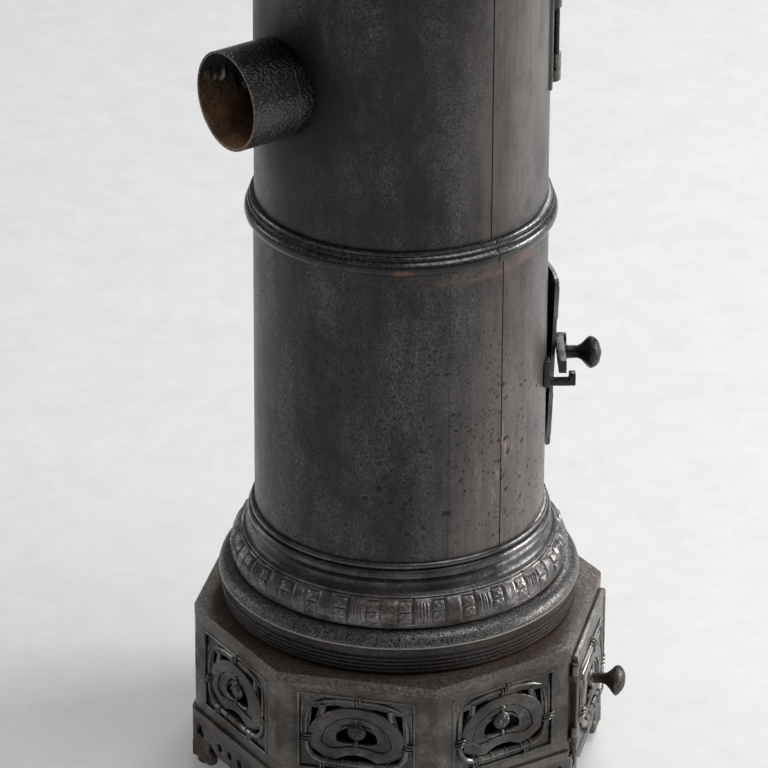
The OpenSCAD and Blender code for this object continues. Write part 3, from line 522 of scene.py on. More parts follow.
settled(skirt, skirt_iron, replaced=["skirt"])

foot_iron = cast_iron(
    "foot iron", (0.044, 0.041, 0.039), (0.25, 0.235, 0.22), (0.09, 0.052, 0.036), rusty=0.85, start=0.5,
    fineness=300, rough=(0.28, 0.48), bump=1, floor_rust=0.35,
)
lobe = [(85.6, 8.5), (85.6, 26)] + arc(53.5, 17.5, 8.6, 8.7, 90, 270, 16) + [(70, 8.5)]
scroll = raised(arc(54, 17.3, 5.4, 5.4, 20, 300, 18), -1.3) + [(70, 12, -1.5), (82, 12, -1.7)]
web = [(56, 12), (80, 12), (80, 57), (56, 57)]
wings = []
for facet, hand in ((0, 1), (45, -1)):
    parts = [
        flat_casting([[(hand * x, z) for x, z in lobe]], -9, -0.5, 2.4),
        rod([(hand * x, z, up) for x, z, up in scroll], 1.3, ends=(0.4, 1)),
        ball((hand * 54, 17.3, -1.3), 2.6, 0.6, 10),
        flat_casting([[(hand * x, z) for x, z in web]], -13, -7.5, 0.5),
    ]
    for part in parts:
        part.data.transform(on_facet(facet, 203.1, 0))
    wings += parts
pad = flat_casting([arc(0, 0, 10, 10, 0, 345, 23)], 0, 12, 2)
pad.data.transform(turned(22.5) @ Matrix.Translation((0, -204, 0)))
first = joined("foot", wings + [pad])
for i in range(1, 9):
    foot = settled(copied(first, 45 * (i - 1)), foot_iron, replaced=[f"foot_{i}"])
    foot.name = f"foot_casting_{i}"
bpy.data.objects.remove(first)

# A bead along the bottom plate's upper edge, pale as rubbed metal and as painted highlight
bead_worn_and_highlit_iron = cast_iron(
    "bead iron", (0.2, 0.19, 0.185), (0.55, 0.53, 0.51), (0.085, 0.05, 0.032), rusty=0.6, start=0.55,
    rough=(0.24, 0.4), bump=0.8,
)
bead_line = raised(ground_flush(octagon(201.5, 15), ash_door_turn, 198.2), 64)
settled(joined("bottom_plate_bead", [rod(bead_line, 1.9, True)]), bead_worn_and_highlit_iron, angle=60)


# ---- Pierced side panels
# Seven cast panels in the base's sides: an oval band with an arched foot, stepped rings round a
# half-moon opening, a studded boss on a beaded stem, and a border of tied reeds. Cast iron.
def frame_outline(w, h, r):
    """Points of a box with round corners."""
    points = []
    for k, (sx, sy) in enumerate(((1, 1), (-1, 1), (-1, -1), (1, -1))):
        points += arc(sx * (w / 2 - r), sy * (h / 2 - r), r, r, 90 * k, 90 * k + 90, 4)
    return points


def tie(x, y, turn, reach, height):
    """A wrap over a bundle of reeds: a low arch across it."""
    c, s = cos(radians(turn)), sin(radians(turn))
    arch = [(across, up - 1.2) for across, up in arc(0, 0, reach, height, 0, 180, 8)]
    return rod([(x - s * across, y + c * across, up) for across, up in arch], 1)


def paired(*rods):
    """Bars on the left and on the right, each from its points on the right, radius and ends."""
    return [rod([(hand * x, y, z) for x, y, z in points], radius, ends=ends)
            for hand in (-1, 1) for points, radius, ends in rods]


def panel_relief():
    """The relief that every pierced panel has, lying flat with its face up."""
    foot = [(47.5, -18.5), (38, -24.5), (29, -29.5), (21, -31.2), (15, -27.6), (8, -24.9), (0, -24)]
    sill = [(33, -15.2), (29, -18), (20, -17.6), (10, -15), (0, -13.8)]
    oval = both_sides(arc(0, -3, 50, 34, -14, 90, 30)[::-1] + foot)
    window = both_sides(arc(0, -11, 37, 31, 0, 90, 24)[::-1] + sill)
    pieces = [flat_casting([oval, window], -5.2, 0.9, 1.1)]
    # Stepped rings that go down to the half-moon
    for k, top in enumerate((-0.3, -1.5, -2.7)):
        outer = arc(0, -11, 36.2 - 4.6 * k, 30.2 - 4.6 * k, -14, 194, 36)
        inner = arc(0, -11, 32.8 - 4.6 * k, 26.8 - 4.6 * k, -14, 194, 36)
        pieces.append(flat_casting([outer + inner[::-1]], -5, top, 1))
    # Two lips under the half-moon, and the struts in the upper corners
    pieces += paired(
        ([(19, -11.5, -1.6), (12, -12.4, -0.6), (4, -11.8, -1)], 1.7, None),
        ([(35.6, 31, -2.2), (35.4, 24, -1.9), (37, 16, -2.2)], 2.6, None),
    )
    # The boss, its studs, and the beads of its stem
    pieces.append(ball((0, 2.5, -1.6), 10, 0.42, 28))
    for x, y, r in ((-4.6, 2.6, 2.7), (4.6, 2.9, 2.7), (0.2, 7.2, 2.2), (0, -2.2, 2.2), (0, 2.6, 1.7)):
        pieces.append(ball((x, y, 1.7), r, 0.62, 12))
    for y, r in ((13.8, 2), (18, 3.1), (-8.6, 1.9), (-11.4, 2.7), (-15.6, 1.8)):
        pieces.append(ball((0, y, -0.4), r, 0.9, 12))
    return pieces


def panel_border():
    """The border of reeds: thin and bowed at the top, thick at the foot, with its ties."""
    pieces = paired(
        ([(0, 39.4, 0.2), (20, 38.4, -0.4), (36, 35.4, -0.8), (47, 31, -1.6)], 2.3, (1, 0.5)),
        ([(0, 42, -0.6), (30, 41.6, -0.9), (56, 42.2, -1.2)], 1.5, (1, 0.5)),
        ([(50.5, 27, -1.6), (53.2, 12, -0.6), (53.4, -4, -0.2), (52, -14, -0.2)], 2.1, (0.6, 1)),
        ([(48, 26, -2.4), (50, 8, -1.6), (50.2, -6, -1.2)], 1.4, (0.6, 1)),
        ([(57.4, 30, -1.8), (57.8, 4, -1.2), (57, -20, -1.6)], 1.5, None),
        ([(53, -13, -0.2), (51.5, -21, -0.2), (46, -29.5, -0.2), (38, -33.8, -0.2)], 3, (0.8, 1.15)),
    )
    pieces.append(rod([(-38.5, -33.9, -0.2), (-20, -35, -0.2), (20, -35, -0.2), (38.5, -33.9, -0.2)], 3.5))
    pieces.append(rod([(-38, -40.2, -1.6), (0, -40.6, -1.4), (38, -40.2, -1.6)], 1.6))
    for x in (-27.5, -14.4, 3.5, 22):
        pieces.append(tie(x, -35, 0, 4.1, 4.3))
    for x, y, turn, reach, height in (
        (1, 39.6, 0, 5.4, 4.6), (-52.6, -8.5, 90, 5.8, 4.2), (55.8, -8, 90, 5.8, 4.2), (29.5, -37, 0, 5.6, 4.4),
        (-33.5, -37, 0, 5.6, 4.4),
    ):
        for step in (-3.4, 0, 3.4):
            slant = 0.5 * step
            spot = (x + step, y + slant) if turn == 0 else (x + slant, y + step)
            pieces.append(tie(*spot, turn, reach, height))
    return pieces


def pierced_plate(w, h, cy, low, high):
    """A plate with the panel's eight openings; the half-moon and the lens are the big ones."""
    upper = [(32, 29.6), (32.3, 21.5), (24, 26.6), (14, 30.4), (20, 31.4)]
    outer = [(39.6, 26.8), (47.4, 26.5), (50.4, 3), (48.4, 1), (44, 12)]
    lower = [(34, -29.6), (46.5, -22), (47.5, -27), (42, -30.4)]
    moon = [(0, 14), (7, 13.2), (14, 9.4), (19, 3.2), (21.6, -4.2), (21, -9.6), (10, -10.8), (0, -10.4)]
    lens = [(0, -23.2), (9, -24.4), (16, -27.4), (21.4, -31.4), (12, -32.2), (0, -32.4)]
    loops = [(x, y + cy) for x, y in frame_outline(w, h, 1.5)], upper, mirrored(upper), outer, mirrored(outer)
    return flat_casting([*loops, lower, mirrored(lower), both_sides(moon), both_sides(lens)], low, high)


panel_iron = cast_iron(
    "panel iron", (0.036, 0.034, 0.033), (0.24, 0.23, 0.215), (0.066, 0.044, 0.032), rusty=0.6, start=0.52,
    fineness=360, rough=(0.17, 0.38), bump=1,
)
fillet = rod(raised(frame_outline(121.4, 87.4, 1.5), 0.8), 1.5, True)
first = joined("panel", [pierced_plate(123, 89, 0, -5.5, -1), fillet] + panel_relief() + panel_border())
for i in range(1, 8):
    facet = on_facet(ash_door_turn + 45 * i, 0.1989, 0.1225)
    panel = settled(copied(first), panel_iron, replaced=[f"grille_{i}"], place=facet)
    panel.name = f"side_panel_{i}"
bpy.data.objects.remove(first)


# ---- Ash door
# One casting with the panels' relief, thicker and framed by a raised rim. It hangs on a thin pin
# at its left edge and is pulled open by a mushroom knob where the panels have their boss.
def tube(x, distance, low, high, outer, inner):
    """An upright sleeve beside a plate that lies flat."""
    loops = [arc(0, 0, outer, outer, 0, 345, 23), arc(0, 0, inner, inner, 0, 340, 17)]
    piece = flat_casting(loops, low, high, 0.3)
    piece.data.transform(Matrix.Translation((x, 0, distance)) @ turned(-90, "X"))
    return piece


def door_casting():
    """The ash door, lying flat with its face up; its middle is the relief's."""
    middle = 6.5
    pieces = [pierced_plate(152, 123, middle, -6.9, -1.9)]
    for w, h, r, up in ((149.6, 120.6, 1.2, -1.8), (142, 113, 0.8, -2)):
        pieces.append(rod([(x, y + middle, up) for x, y in frame_outline(w, h, 2)], r, True))
    pieces += panel_relief() + panel_border()
    for low in (48, -25):
        pieces.append(tube(-80.5, -2.9, low, low + 12, 3.7, 2.05))
        arm = [(-78.2, low), (-74, low), (-74, low + 12), (-78.2, low + 12)]
        pieces.append(flat_casting([arm], -6.5, -1.9, 0.3))
    return joined("ash_door_casting", pieces)


def spun(name, profile, steps, turn=360):
    """Half of a section turned about the axis, in millimetres: distance from the axis and height."""
    curve = bpy.data.curves.new(name, "CURVE")
    curve.dimensions = "3D"
    line_in(curve, [(x, 0, z) for x, z in profile], closed=profile[0][0] > 0.01)
    piece = shaped(curve)
    edit_all()
    bpy.ops.mesh.spin(steps=steps, angle=radians(turn), center=(0, 0, 0), axis=(0, 0, 1))
    bpy.ops.object.mode_set(mode="OBJECT")
    return piece


def closed_up(piece):
    """A solid whose doubles are merged and whose faces point outwards."""
    pick(piece)
    edit_all()
    bpy.ops.mesh.remove_doubles(threshold=0.005)
    bpy.ops.mesh.normals_make_consistent(inside=False)
    bpy.ops.object.mode_set(mode="OBJECT")
    return piece


# The ash door's iron is a paler copy of the panels' iron, as painted highlight on its relief; its rust is its own
ash_door_highlit_iron = cast_iron(
    "ash door iron", (0.07, 0.066, 0.063), (0.4, 0.38, 0.36), (0.17, 0.092, 0.056), rusty=0.75, start=0.49,
    fineness=330, rough=(0.22, 0.4), bump=1,
)
settled(door_casting(), ash_door_highlit_iron, "ash_door", ["ash_door"], on_facet(ash_door_turn, 0.2071, 0.105))

knob_iron = cast_iron(
    "knob iron", (0.015, 0.013, 0.012), (0.09, 0.076, 0.068), (0.06, 0.038, 0.03), rusty=0.75, start=0.48,
    fineness=260, rough=(0.36, 0.54), bump=1,
)
paint_nodes(knob_iron, "ash_hinge_pin")

# The knob was forged, so its head has flats and an angled rim
stem = [(0, -1.5), (6.3, -1.5), (6, 6), (5.6, 13), (6.6, 17)]
head = [(10.4, 21.2), (14.6, 25.2), (16.3, 28.2), (15.6, 30.4), (12, 33.8), (7.2, 36), (0, 36.7)]
knob = closed_up(spun("ash_knob_forged", stem + head, 18))
for vertex in knob.data.vertices:
    x, y, z = vertex.co
    if z > 14:
        scale = 1 + 0.09 * (noise.noise(Vector((x, y, z)) * 0.09) - 0.2)
        vertex.co = (min(x * scale, 16.4), y * scale, z)
knob_place = on_facet(ash_door_turn, 0.2058, 0.1075)
settled(knob, knob_iron, "ash_door", ["ash_knob"], knob_place, angle=28)


# ---- Disc and ornament ring
# A reeded disc lies on the base and carries a bulging ring. Sixteen times round the ring come two
# stacked rosettes, four upright reeds, two more rosettes and a plain pad, cast in one with it.
def hill(value, middle, half, soft):
    """One inside a band of values, falling to nothing over its soft edge."""
    t = max(0, min(1, (half + soft - abs(value - middle)) / soft))
    return t * t * (3 - 2 * t)


def groove(value, middle):
    """One at the middle of a fine line, and nothing beside it."""
    return exp(-((value - middle) / 0.6) ** 2)


def rosette(s, w, cx, cy):
    """A four-petalled rosette on a rounded block."""
    x, y = (s - cx) / 6, (w - cy) / 5.2
    edge = (x ** 4 + y ** 4) ** 0.25
    if edge >= 1.15:
        return 0
    block = max(0, min(1, (1.12 - edge) / 0.25))
    turn, reach = atan2(y, x), hypot(x, y)
    petals = 0.55 + 0.45 * cos(4 * turn + pi) * min(1, reach * 2.2)
    return block * (0.55 + 0.7 * petals * (1 - 0.5 * reach) + 0.7 * exp(-(reach / 0.26) ** 2))


def ornament(s, w):
    """The relief's height at a place in one repeat: s along the ring, w down from its top edge."""
    field = hill(w, 17.5, 12, 3)
    height = 0
    for cx in (7.2, 42):
        height += rosette(s, w, cx, 11.4) + rosette(s, w, cx, 22.6)
        inside = hill(s, cx, 6.4, 0.9)
        height -= 0.7 * (hill(s, cx, 7.2, 0.9) - inside) * field
        height -= 0.7 * groove(w, 17) * inside
        height -= 0.7 * groove(w, 4.9) * inside
    height -= 1.7 * hill(w, 14, 14.5, 1.5) * groove(s, 16.6)
    reeds = 0.5 - 0.5 * cos((s - 19.6) * 2 * pi / 3.25)
    height += 1 * hill(w, 16, 7.5, 3) * hill(s, 26, 6.5, 0.6) * reeds
    height += 0.9 * hill(s, 58.3, 5.5, 3) * hill(w, 16, 10, 5)
    height -= 1.1 * groove(w, 1.5)
    return height


# The ring's iron is a much paler copy of the cast iron, as painted sheen for the light it reflects
ornament_iron_with_painted_sheen = cast_iron(
    "ornament iron", (0.105, 0.099, 0.097), (0.58, 0.55, 0.53), (0.075, 0.052, 0.04), rusty=0.6, start=0.52,
    fineness=300, rough=(0.18, 0.38), bump=1,
)
# The bulge is part of an oval: its middle and half axes, the angle of its top edge, and one repeat
middle_reach, middle_height, half_wide, half_high = 150, 243, 24.5, 26.4
top_angle, repeat_turn, repeat_length = 60.6, 22.5, 67.5
bulge = arc(middle_reach, middle_height, half_wide, half_high, top_angle, top_angle - 76, 48)
inside_edge = [(168.5, 236), (168.5, 233), (161.5, 233), (162.5, 249), (152, 261), (127.5, 261), (127.5, 266)]
wedge = spun("ring wedge", bulge + inside_edge, 72, repeat_turn)
wedges = [wedge] + [copied(wedge, repeat_turn * k) for k in range(1, 16)]
ring = closed_up(joined("ornament_ring_casting", wedges))
for vertex in ring.data.vertices:
    x, y, z = vertex.co
    reach = hypot(x, y)
    out, rise = (reach - middle_reach) / half_wide, (z - middle_height) / half_high
    a = atan2(rise, out)
    if abs(hypot(out, rise) - 1) < 0.002 and -0.273 < a < 1.061:
        turn = (degrees(atan2(x, -y)) + 122.5 - 22.1) % repeat_turn
        down = (top_angle - degrees(a)) / 57.3 * 25.4
        wobble = noise.noise(Vector((x, y, z)) * 0.11)
        lift = ornament(turn / repeat_turn * repeat_length, down) * (0.85 + 0.4 * wobble) + 0.3 * wobble
        lift *= 1.35 * hill(degrees(a), 22.6, 36.5, 1.5)
        scale = (reach + lift * cos(a)) / reach
        vertex.co = (x * scale, y * scale, z + lift * sin(a))
settled(ring, ornament_iron_with_painted_sheen, replaced=["ornament_ring"], angle=60)

# The disc's profile from its throat outwards: a sloping granular rim over a face with four reeds
reeds = []
for k in range(4):
    for step in range(7):
        t = step / 6
        z = 207.2 - 4.6 * (k + t)
        reeds.append((184 - 0.09 * (207.2 - z) + 1.7 * sqrt(max(0, 1 - (2 * t - 1) ** 2)), z))
disc_profile = [(124, 233), (174, 233), (179.2, 231.8), (183.4, 229), (186.4, 225), (187.9, 220.2), (187.9, 219.2)]
disc_profile += [(187.2, 218.2), (185.4, 216.6), (184.9, 213.5), (184.9, 210.5), (184.6, 208.2)] + reeds
disc_profile += [(181.4, 187.6), (177, 187.6), (178.5, 217), (168, 227), (124, 227)]
disc = closed_up(spun("plinth_disc_casting", disc_profile, 192))


def disc_iron():
    """Black face with brown in its reeds, and a rim of bare grey sand grain with a painted highlight along its
    edge.
    """
    paint, place = material("disc iron")
    height = add("SeparateXYZ", place)[2]
    specks = add("TexVoronoi", Vector=place, Scale=900)["Color"]
    specks = ramp(add("SeparateColor", specks)[0], 0.25, 1)
    grain = use(sand, Vector=place, Fineness=330)
    brown = product(patches(place, 11, 0.48, 0.16), 0.7)
    face = blend(grain["Lumps"], (0.022, 0.02, 0.0192), (0.066, 0.059, 0.056))
    face = blend(brown, face, (0.046, 0.026, 0.018))
    bare = blend(specks, (0.022, 0.021, 0.0205), (0.3, 0.285, 0.275))
    bare = blend(product(patches(place, 9, 0.36, 0.26), 0.55), bare, (0.045, 0.041, 0.038))
    colour = blend(band(height, 0.2185, 0.236, 0.0012), face, bare)
    # Painted highlight: a thin pale line round the rim's edge
    colour = blend(product(band(height, 0.218, 0.2204, 0.0006), 0.8), colour, (0.36, 0.34, 0.32))
    shine = ramp(specks, 0, 1, 0.46, 0.28)
    depth = sum_of(product(grain["Height"], 0.5), product(specks, 0.45))
    return finished(paint, colour, shine, 0.5, Strength=0.7, Distance=0.0007, Height=depth)


settled(disc, disc_iron(), replaced=["plinth_disc"], angle=32)


# ---- Collar and drums
# A cast collar with a cove and two beads takes the lower drum; a cast ring joins the two drums.
# The drums are rolled sheet iron with upright seams, blackened, scuffed, and pitted low down.
def off_plane(place, turn):
    """Distance from an upright plane through the column's axis, at a turn in degrees."""
    way = (cos(radians(turn)), sin(radians(turn)), 0)
    return add("Math", toward(place, way), operation="ABSOLUTE")[0]


def in_front(place, turn):
    """How far out a place lies on the side of that plane's turn."""
    return toward(place, (sin(radians(turn)), -cos(radians(turn)), 0))


def ring_iron():
    """Polished cast iron with a joint across it and an orange rust spot under its large bead."""
    paint, place = material("ring iron")
    grain = use(sand, Vector=place, Fineness=330)
    cloud = patches(place, 12, 0.4, 0.25)
    colour = blend(product(grain["Lumps"], cloud), (0.03, 0.029, 0.029), (0.13, 0.125, 0.12))
    # Painted highlight: faces that look upwards are painted paler on the grain's lumps
    upper = band(tilt(), 0.3, 0.85, 0.2)
    colour = blend(product(upper, product(grain["Lumps"], 0.5)), colour, (0.24, 0.23, 0.225))
    joint = -84.5
    this_side = add("Math", in_front(place, joint), 0, operation="GREATER_THAN")[0]
    line = product(ramp(off_plane(place, joint), 0.0006, 0.0016, 1, 0), this_side)
    far = add("VectorMath", drawn_out(place, 2.6), (-0.134, 0.083, 1.633), operation="DISTANCE")["Value"]
    spot = product(ramp(far, 0.004, 0.013, 1, 0), patches(place, 90, 0.36, 0.2))
    colour = blend(spot, colour, (0.25, 0.115, 0.06))
    colour = blend(line, colour, (0.004, 0.004, 0.004))
    shine = ramp(sum_of(spot, line), 0, 1, 0.25, 0.7)
    notched = plus(grain["Height"], product(line, -1.5))
    return finished(paint, colour, shine, 0.55, Strength=0.35, Distance=0.0005, Height=notched)


def pitting(place, size, fewest, small, large):
    """How deep a place is inside a pit; the pits have many sizes, and some cells have none."""
    cells = add("TexVoronoi", Vector=place, Scale=size)
    room = ramp(add("SeparateColor", cells["Color"])[0], fewest, 1, small, large)
    return add("Math", room, cells["Distance"], operation="SUBTRACT")[0]


# The flue stub's axis, in metres: the point where it meets the column's axis, and its direction
flue_middle, flue_way = (0, 0, 0.799), (-0.050593, 0.998719, 0)


def from_flue(place):
    """Distance from the flue stub's axis."""
    shifted = add("VectorMath", place, flue_middle, operation="SUBTRACT")[0]
    along = add("VectorMath", shifted, flue_way, operation="PROJECT")[0]
    return add("VectorMath", shifted, along, operation="DISTANCE")["Value"]


def drum_iron(name, seam, pitted):
    """Rolled sheet: grainy mill scale, clouds of old polish, a warm seam, dark pits, soot with painted shadow
    round the flue stub, painted light on the side towards the lamps, and a painted shadow under the ring.
    """
    paint, place = material(name)
    _, y, z = add("SeparateXYZ", place)
    upright = drawn_out(place, 0.3)
    cloud = patches(place, 6, 0.42, 0.2)
    patch = patches(upright, 21, 0.4, 0.3)
    grain = use(sand, Vector=place, Fineness=330)
    fleck = ramp(clouds(place, 620, 2, 0.7), 0.52, 0.64)
    # The seam and its warm band, on the side of the column where it is
    side = ramp(in_front(place, seam), 0, 0.05)
    off = off_plane(place, seam)
    near = product(ramp(off, 0.002, 0.034, 1, 0), side)
    warm = product(patches(upright, 46, 0.4, 0.2), near, 0.85)
    line = product(ramp(off, 0.0005, 0.0013, 0.9, 0), side)
    # A scribed line a hand's width from the seam, on the lower drum only
    aside = off_plane(place, seam - 24)
    line = sum_of(line, product(ramp(aside, 0.0003, 0.0009, 0.45 * pitted, 0), side))
    # Dark pits with a lighter edge low on the column, and finer pocks among and above them
    wavy = add("TexNoise", Vector=place, Scale=240, Detail=3)["Color"]
    wavy = add("VectorMath", wavy, (0.008, 0.008, 0.008), place, operation="MULTIPLY_ADD")[0]
    lit = toward(place, (-0.4, -0.92, 0))
    front = ramp(lit, -0.1, -0.045, 0.15, 1)
    where = product(patches(place, 10, 0.32, 0.14), front, band(z, 0.27, 0.47, 0.08))
    gap = pitting(wavy, 120, 0.25, 0.05, 0.42)
    pit = product(ramp(gap, -0.02, 0.12, 0, 0.85 * pitted), where)
    rim = product(ramp(gap, -0.09, 0, 0, 0.12 * pitted), where)
    pock = ramp(pitting(wavy, 290, 0.35, 0.04, 0.5), -0.02, 0.06, 0, 0.75)
    wide = product(patches(place, 16, 0.42, 0.14), band(z, 0.25, 0.56, 0.05))
    pit = sum_of(pit, product(pock, wide, pitted))
    # Soot round the flue stub, with its painted shadow: darker near the stub's axis, on the stub's side of the
    # column
    soot = product(ramp(from_flue(place), 0.05, 0.105, 0.85, 0), ramp(y, 0, 0.03))
    # Mill scale under old polish, with flecks of bare metal
    streak = product(patches(upright, 30, 0.42, 0.22), 0.5)
    rubbed_wear_and_painted_highlight = product(grain["Lumps"], ramp(patch, 0, 1, 0.08, 0.78))
    colour = blend(streak, (0.014, 0.0138, 0.014), (0.04, 0.038, 0.0375))
    colour = blend(product(cloud, 0.4), colour, (0.05, 0.0475, 0.0465))
    colour = blend(rubbed_wear_and_painted_highlight, colour, (0.13, 0.121, 0.117))
    colour = blend(product(patches(place, 58, 0.46, 0.12), 0.4), colour, (0.012, 0.0115, 0.0118))
    colour = blend(product(fleck, patch, 0.5), colour, (0.28, 0.265, 0.255))
    # The doors' side, which faces the lamps, is painted lighter as painted light, broken into upright streaks of
    # wear, and more so low down
    thin = patches(drawn_out(place, 0.05), 210, 0.4, 0.25)
    lit_side_wear_and_painted_light = product(patches(upright, 11, 0.38, 0.18), ramp(thin, 0, 1, 0.62, 1))
    low_lit_side_wear_and_painted_light = product(ramp(lit, -0.016, 0.034), product(band(z, 0.2, 0.42, 0.12), 0.8 * pitted))
    low_lit_side_wear_and_painted_light = product(low_lit_side_wear_and_painted_light, ramp(thin, 0, 1, 0.65, 1), ramp(cloud, 0, 1, 0.6, 1))
    lit_side_wear_and_painted_light = sum_of(product(lit_side_wear_and_painted_light, ramp(lit, 0.02, 0.115), 0.8), low_lit_side_wear_and_painted_light)
    colour = blend(lit_side_wear_and_painted_light, colour, (0.172, 0.154, 0.144))
    dim = product(patches(place, 5, 0.49, 0.12), ramp(low_lit_side_wear_and_painted_light, 0, 0.4, 0.75, 0.12))
    colour = blend(dim, colour, (0.0165, 0.0155, 0.0158))
    colour = blend(warm, colour, (0.122, 0.095, 0.084))
    # Pale runs beside the seam low down, and rust that has come down from the ring
    runs = product(patches(drawn_out(place, 0.12), 150, 0.56, 0.1), band(z, 0.33, 0.42, 0.03))
    beside_seam = product(ramp(off, 0, 0.052, 1, 0), side)
    colour = blend(product(runs, product(beside_seam, pitted)), colour, (0.38, 0.27, 0.205))
    by_seam = product(ramp(off, 0.02, 0.12, 1, 0.12), side)
    spotty = patches(drawn_out(place, 2.5), 26, 0.47, 0.14)
    under_ring = product(band(z, 0.604, 0.618, 0.006), by_seam, spotty, 0.85)
    colour = blend(under_ring, colour, (0.16, 0.105, 0.086))
    # Painted shadow: a black line just under the middle ring's bead
    colour = blend(band(z, 0.6215, 0.626, 0.0006), colour, (0.003, 0.003, 0.003))
    colour = blend(rim, colour, (0.13, 0.108, 0.09))
    colour = blend(sum_of(pit, soot, line), colour, (0.0065, 0.006, 0.006))
    shine = ramp(sum_of(warm, pit, soot), 0, 1, ramp(rubbed_wear_and_painted_highlight, 0, 0.7, 0.4, 0.3), 0.6)
    depth = plus(grain["Height"], product(pit, -0.9))
    dents = clouds(place, 9, 2)
    soft = add("Bump", Strength=0.35, Distance=0.004, Height=dents)[0]
    return finished(paint, colour, shine, 0.5, Strength=0.55, Distance=0.0006, Height=depth, Normal=soft)


collar_iron = cast_iron(
    "collar iron", (0.031, 0.03, 0.03), (0.28, 0.265, 0.255), (0.06, 0.042, 0.034), rusty=0.45, start=0.56,
    fineness=330, rough=(0.17, 0.34), bump=0.7,
)
paint_nodes(collar_iron, "collar_ring")
paint_nodes(ring_iron(), "middle_ring")
paint_nodes(drum_iron("lower drum iron", seam=-79.5, pitted=0.9), "lower_drum")
paint_nodes(drum_iron("upper drum iron", seam=-85.5, pitted=0), "upper_drum", "seam_straps")


# ---- Flue stub
# A short cast pipe that stands out at the back. Its skin is pebbled by the sand it was cast in;
# inside it is rusted brown near the mouth and low down, near black further in and darker towards the top.
def pipe_iron():
    """Pebbled iron, sooty and painted darker with shade towards the drum, with a painted highlight line near the
    drum, and a rusty throat.
    """
    paint, place = material("flue iron")
    inside = ramp(from_flue(place), 0.0482, 0.0488, 1, 0)
    _, y, z = add("SeparateXYZ", place)
    pebbles = add("TexVoronoi", Vector=place, Scale=330, feature="SMOOTH_F1", Smoothness=0.6)["Distance"]
    grain = use(sand, Vector=place, Fineness=260)
    skin = add("Math", pebbles, grain["Height"], operation="SUBTRACT")[0]
    tops = product(ramp(pebbles, 0.1, 0.5, 1, 0), 0.7)
    colour = blend(tops, (0.05, 0.047, 0.049), (0.165, 0.155, 0.16))
    colour = blend(product(patches(place, 18, 0.42, 0.22), 0.3), colour, (0.05, 0.043, 0.041))
    # Soot and painted shade: the stub is darkened towards the drum
    colour = blend(ramp(y, 0.15, 0.186, 0.85, 0), colour, (0.01, 0.0098, 0.01))
    # Painted highlight: a pale line round the stub near the drum, where a rim edge catches light
    colour = blend(product(band(y, 0.1545, 0.1555, 0.0006), 0.5), colour, (0.16, 0.15, 0.15))
    # Inside, the rust colour is brightest near the mouth and low down, and fades to black further in and towards
    # the top
    rusty = ramp(patches(place, 30, 0.34, 0.3), 0, 1, 0.35, 1)
    rust = product(ramp(y, 0.15, 0.212), ramp(z, 0.748, 0.806, 1, 0.1), rusty)
    throat = blend(rust, (0.012, 0.008, 0.006), (0.9, 0.5, 0.27))
    ash = product(patches(place, 75, 0.42, 0.16), rust, 0.7)
    colour = blend(inside, colour, blend(ash, throat, (0.86, 0.66, 0.47)))
    shine = ramp(inside, 0, 1, 0.22, 0.85)
    return finished(paint, colour, shine, 0.4, Strength=0.9, Distance=0.001, Height=skin, invert=True)


def crust_paint():
    """Black soot whose curled edge is pale with ash."""
    paint, place = material("soot crust")
    curled = ramp(from_flue(place), 0.0446, 0.0424)
    grain = use(sand, Vector=place, Fineness=420)
    colour = blend(grain["Lumps"], (0.008, 0.007, 0.0062), (0.034, 0.026, 0.02))
    colour = blend(product(curled, patches(place, 70, 0.46, 0.16)), colour, (0.5, 0.42, 0.31))
    return finished(paint, colour, 0.85, 0, Strength=0.8, Distance=0.0006, Height=grain["Height"])


paint_nodes(pipe_iron(), "flue_collar")

# Soot inside the stub has dried to a crust, and its torn lower edge curls away from the wall
pick()
bpy.ops.mesh.primitive_grid_add(x_subdivisions=70, y_subdivisions=16, size=1)
crust = bpy.context.object
crust.name = "soot_crust"
bore = 48
for vertex in crust.data.vertices:
    along, across = vertex.co.x + 0.5, vertex.co.y + 0.5
    depth = 4 + 66 * along
    tear = 11 * noise.noise(Vector((depth * 0.11, 0, 0))) + 8 * noise.noise(Vector((depth * 0.45, 3, 0)))
    drop = min(1, max(0, (depth - 20) / 42))
    tear += 6 - 30 * drop * drop * (3 - 2 * drop)
    turn = radians(tear + (85 - tear) * across)
    lift = 0.9 + 5.5 * (1 - across) ** 3 * (0.75 + 0.9 * noise.noise(Vector((depth * 0.16, 7, 0))))
    lift += 0.9 * noise.noise(Vector((depth * 0.3, across * 9, 1)))
    vertex.co = ((bore - lift) * cos(turn), -depth, (bore - lift) * sin(turn))
thick = crust.modifiers.new("thickness", "SOLIDIFY")
thick.thickness = 0.5
bpy.ops.object.modifier_apply(modifier="thickness")
mouth = turned(degrees(atan2(-flue_way[0], flue_way[1]))) @ Matrix.Translation((0, 0.2143, 0))
settled(crust, crust_paint(), place=Matrix.Translation(flue_middle) @ mouth, angle=60)


# ---- Door fronts
# The curved doors are cast with a raised border, an oval moulding round a boss, and reeds above
# and below it. The border stops where the latch bar swings.
def fine(points, closed=False):
    """Points a few millimetres apart along a line, so that it bends with the door."""
    out = []
    ends = points + points[:1] if closed else points
    for (x0, y0), (x1, y1) in zip(ends, ends[1:]):
        steps = max(1, round(hypot(x1 - x0, y1 - y0) / 4))
        out += [(x0 + (x1 - x0) * k / steps, y0 + (y1 - y0) * k / steps) for k in range(steps)]
    return out if closed else out + points[-1:]


def front_radius(door, height):
    """How far a door's face is from the column's axis at a height, in metres."""
    return -nodes[door].ray_cast(Vector((0.004, -0.5, height)), Vector((0, 1, 0)))[1].y


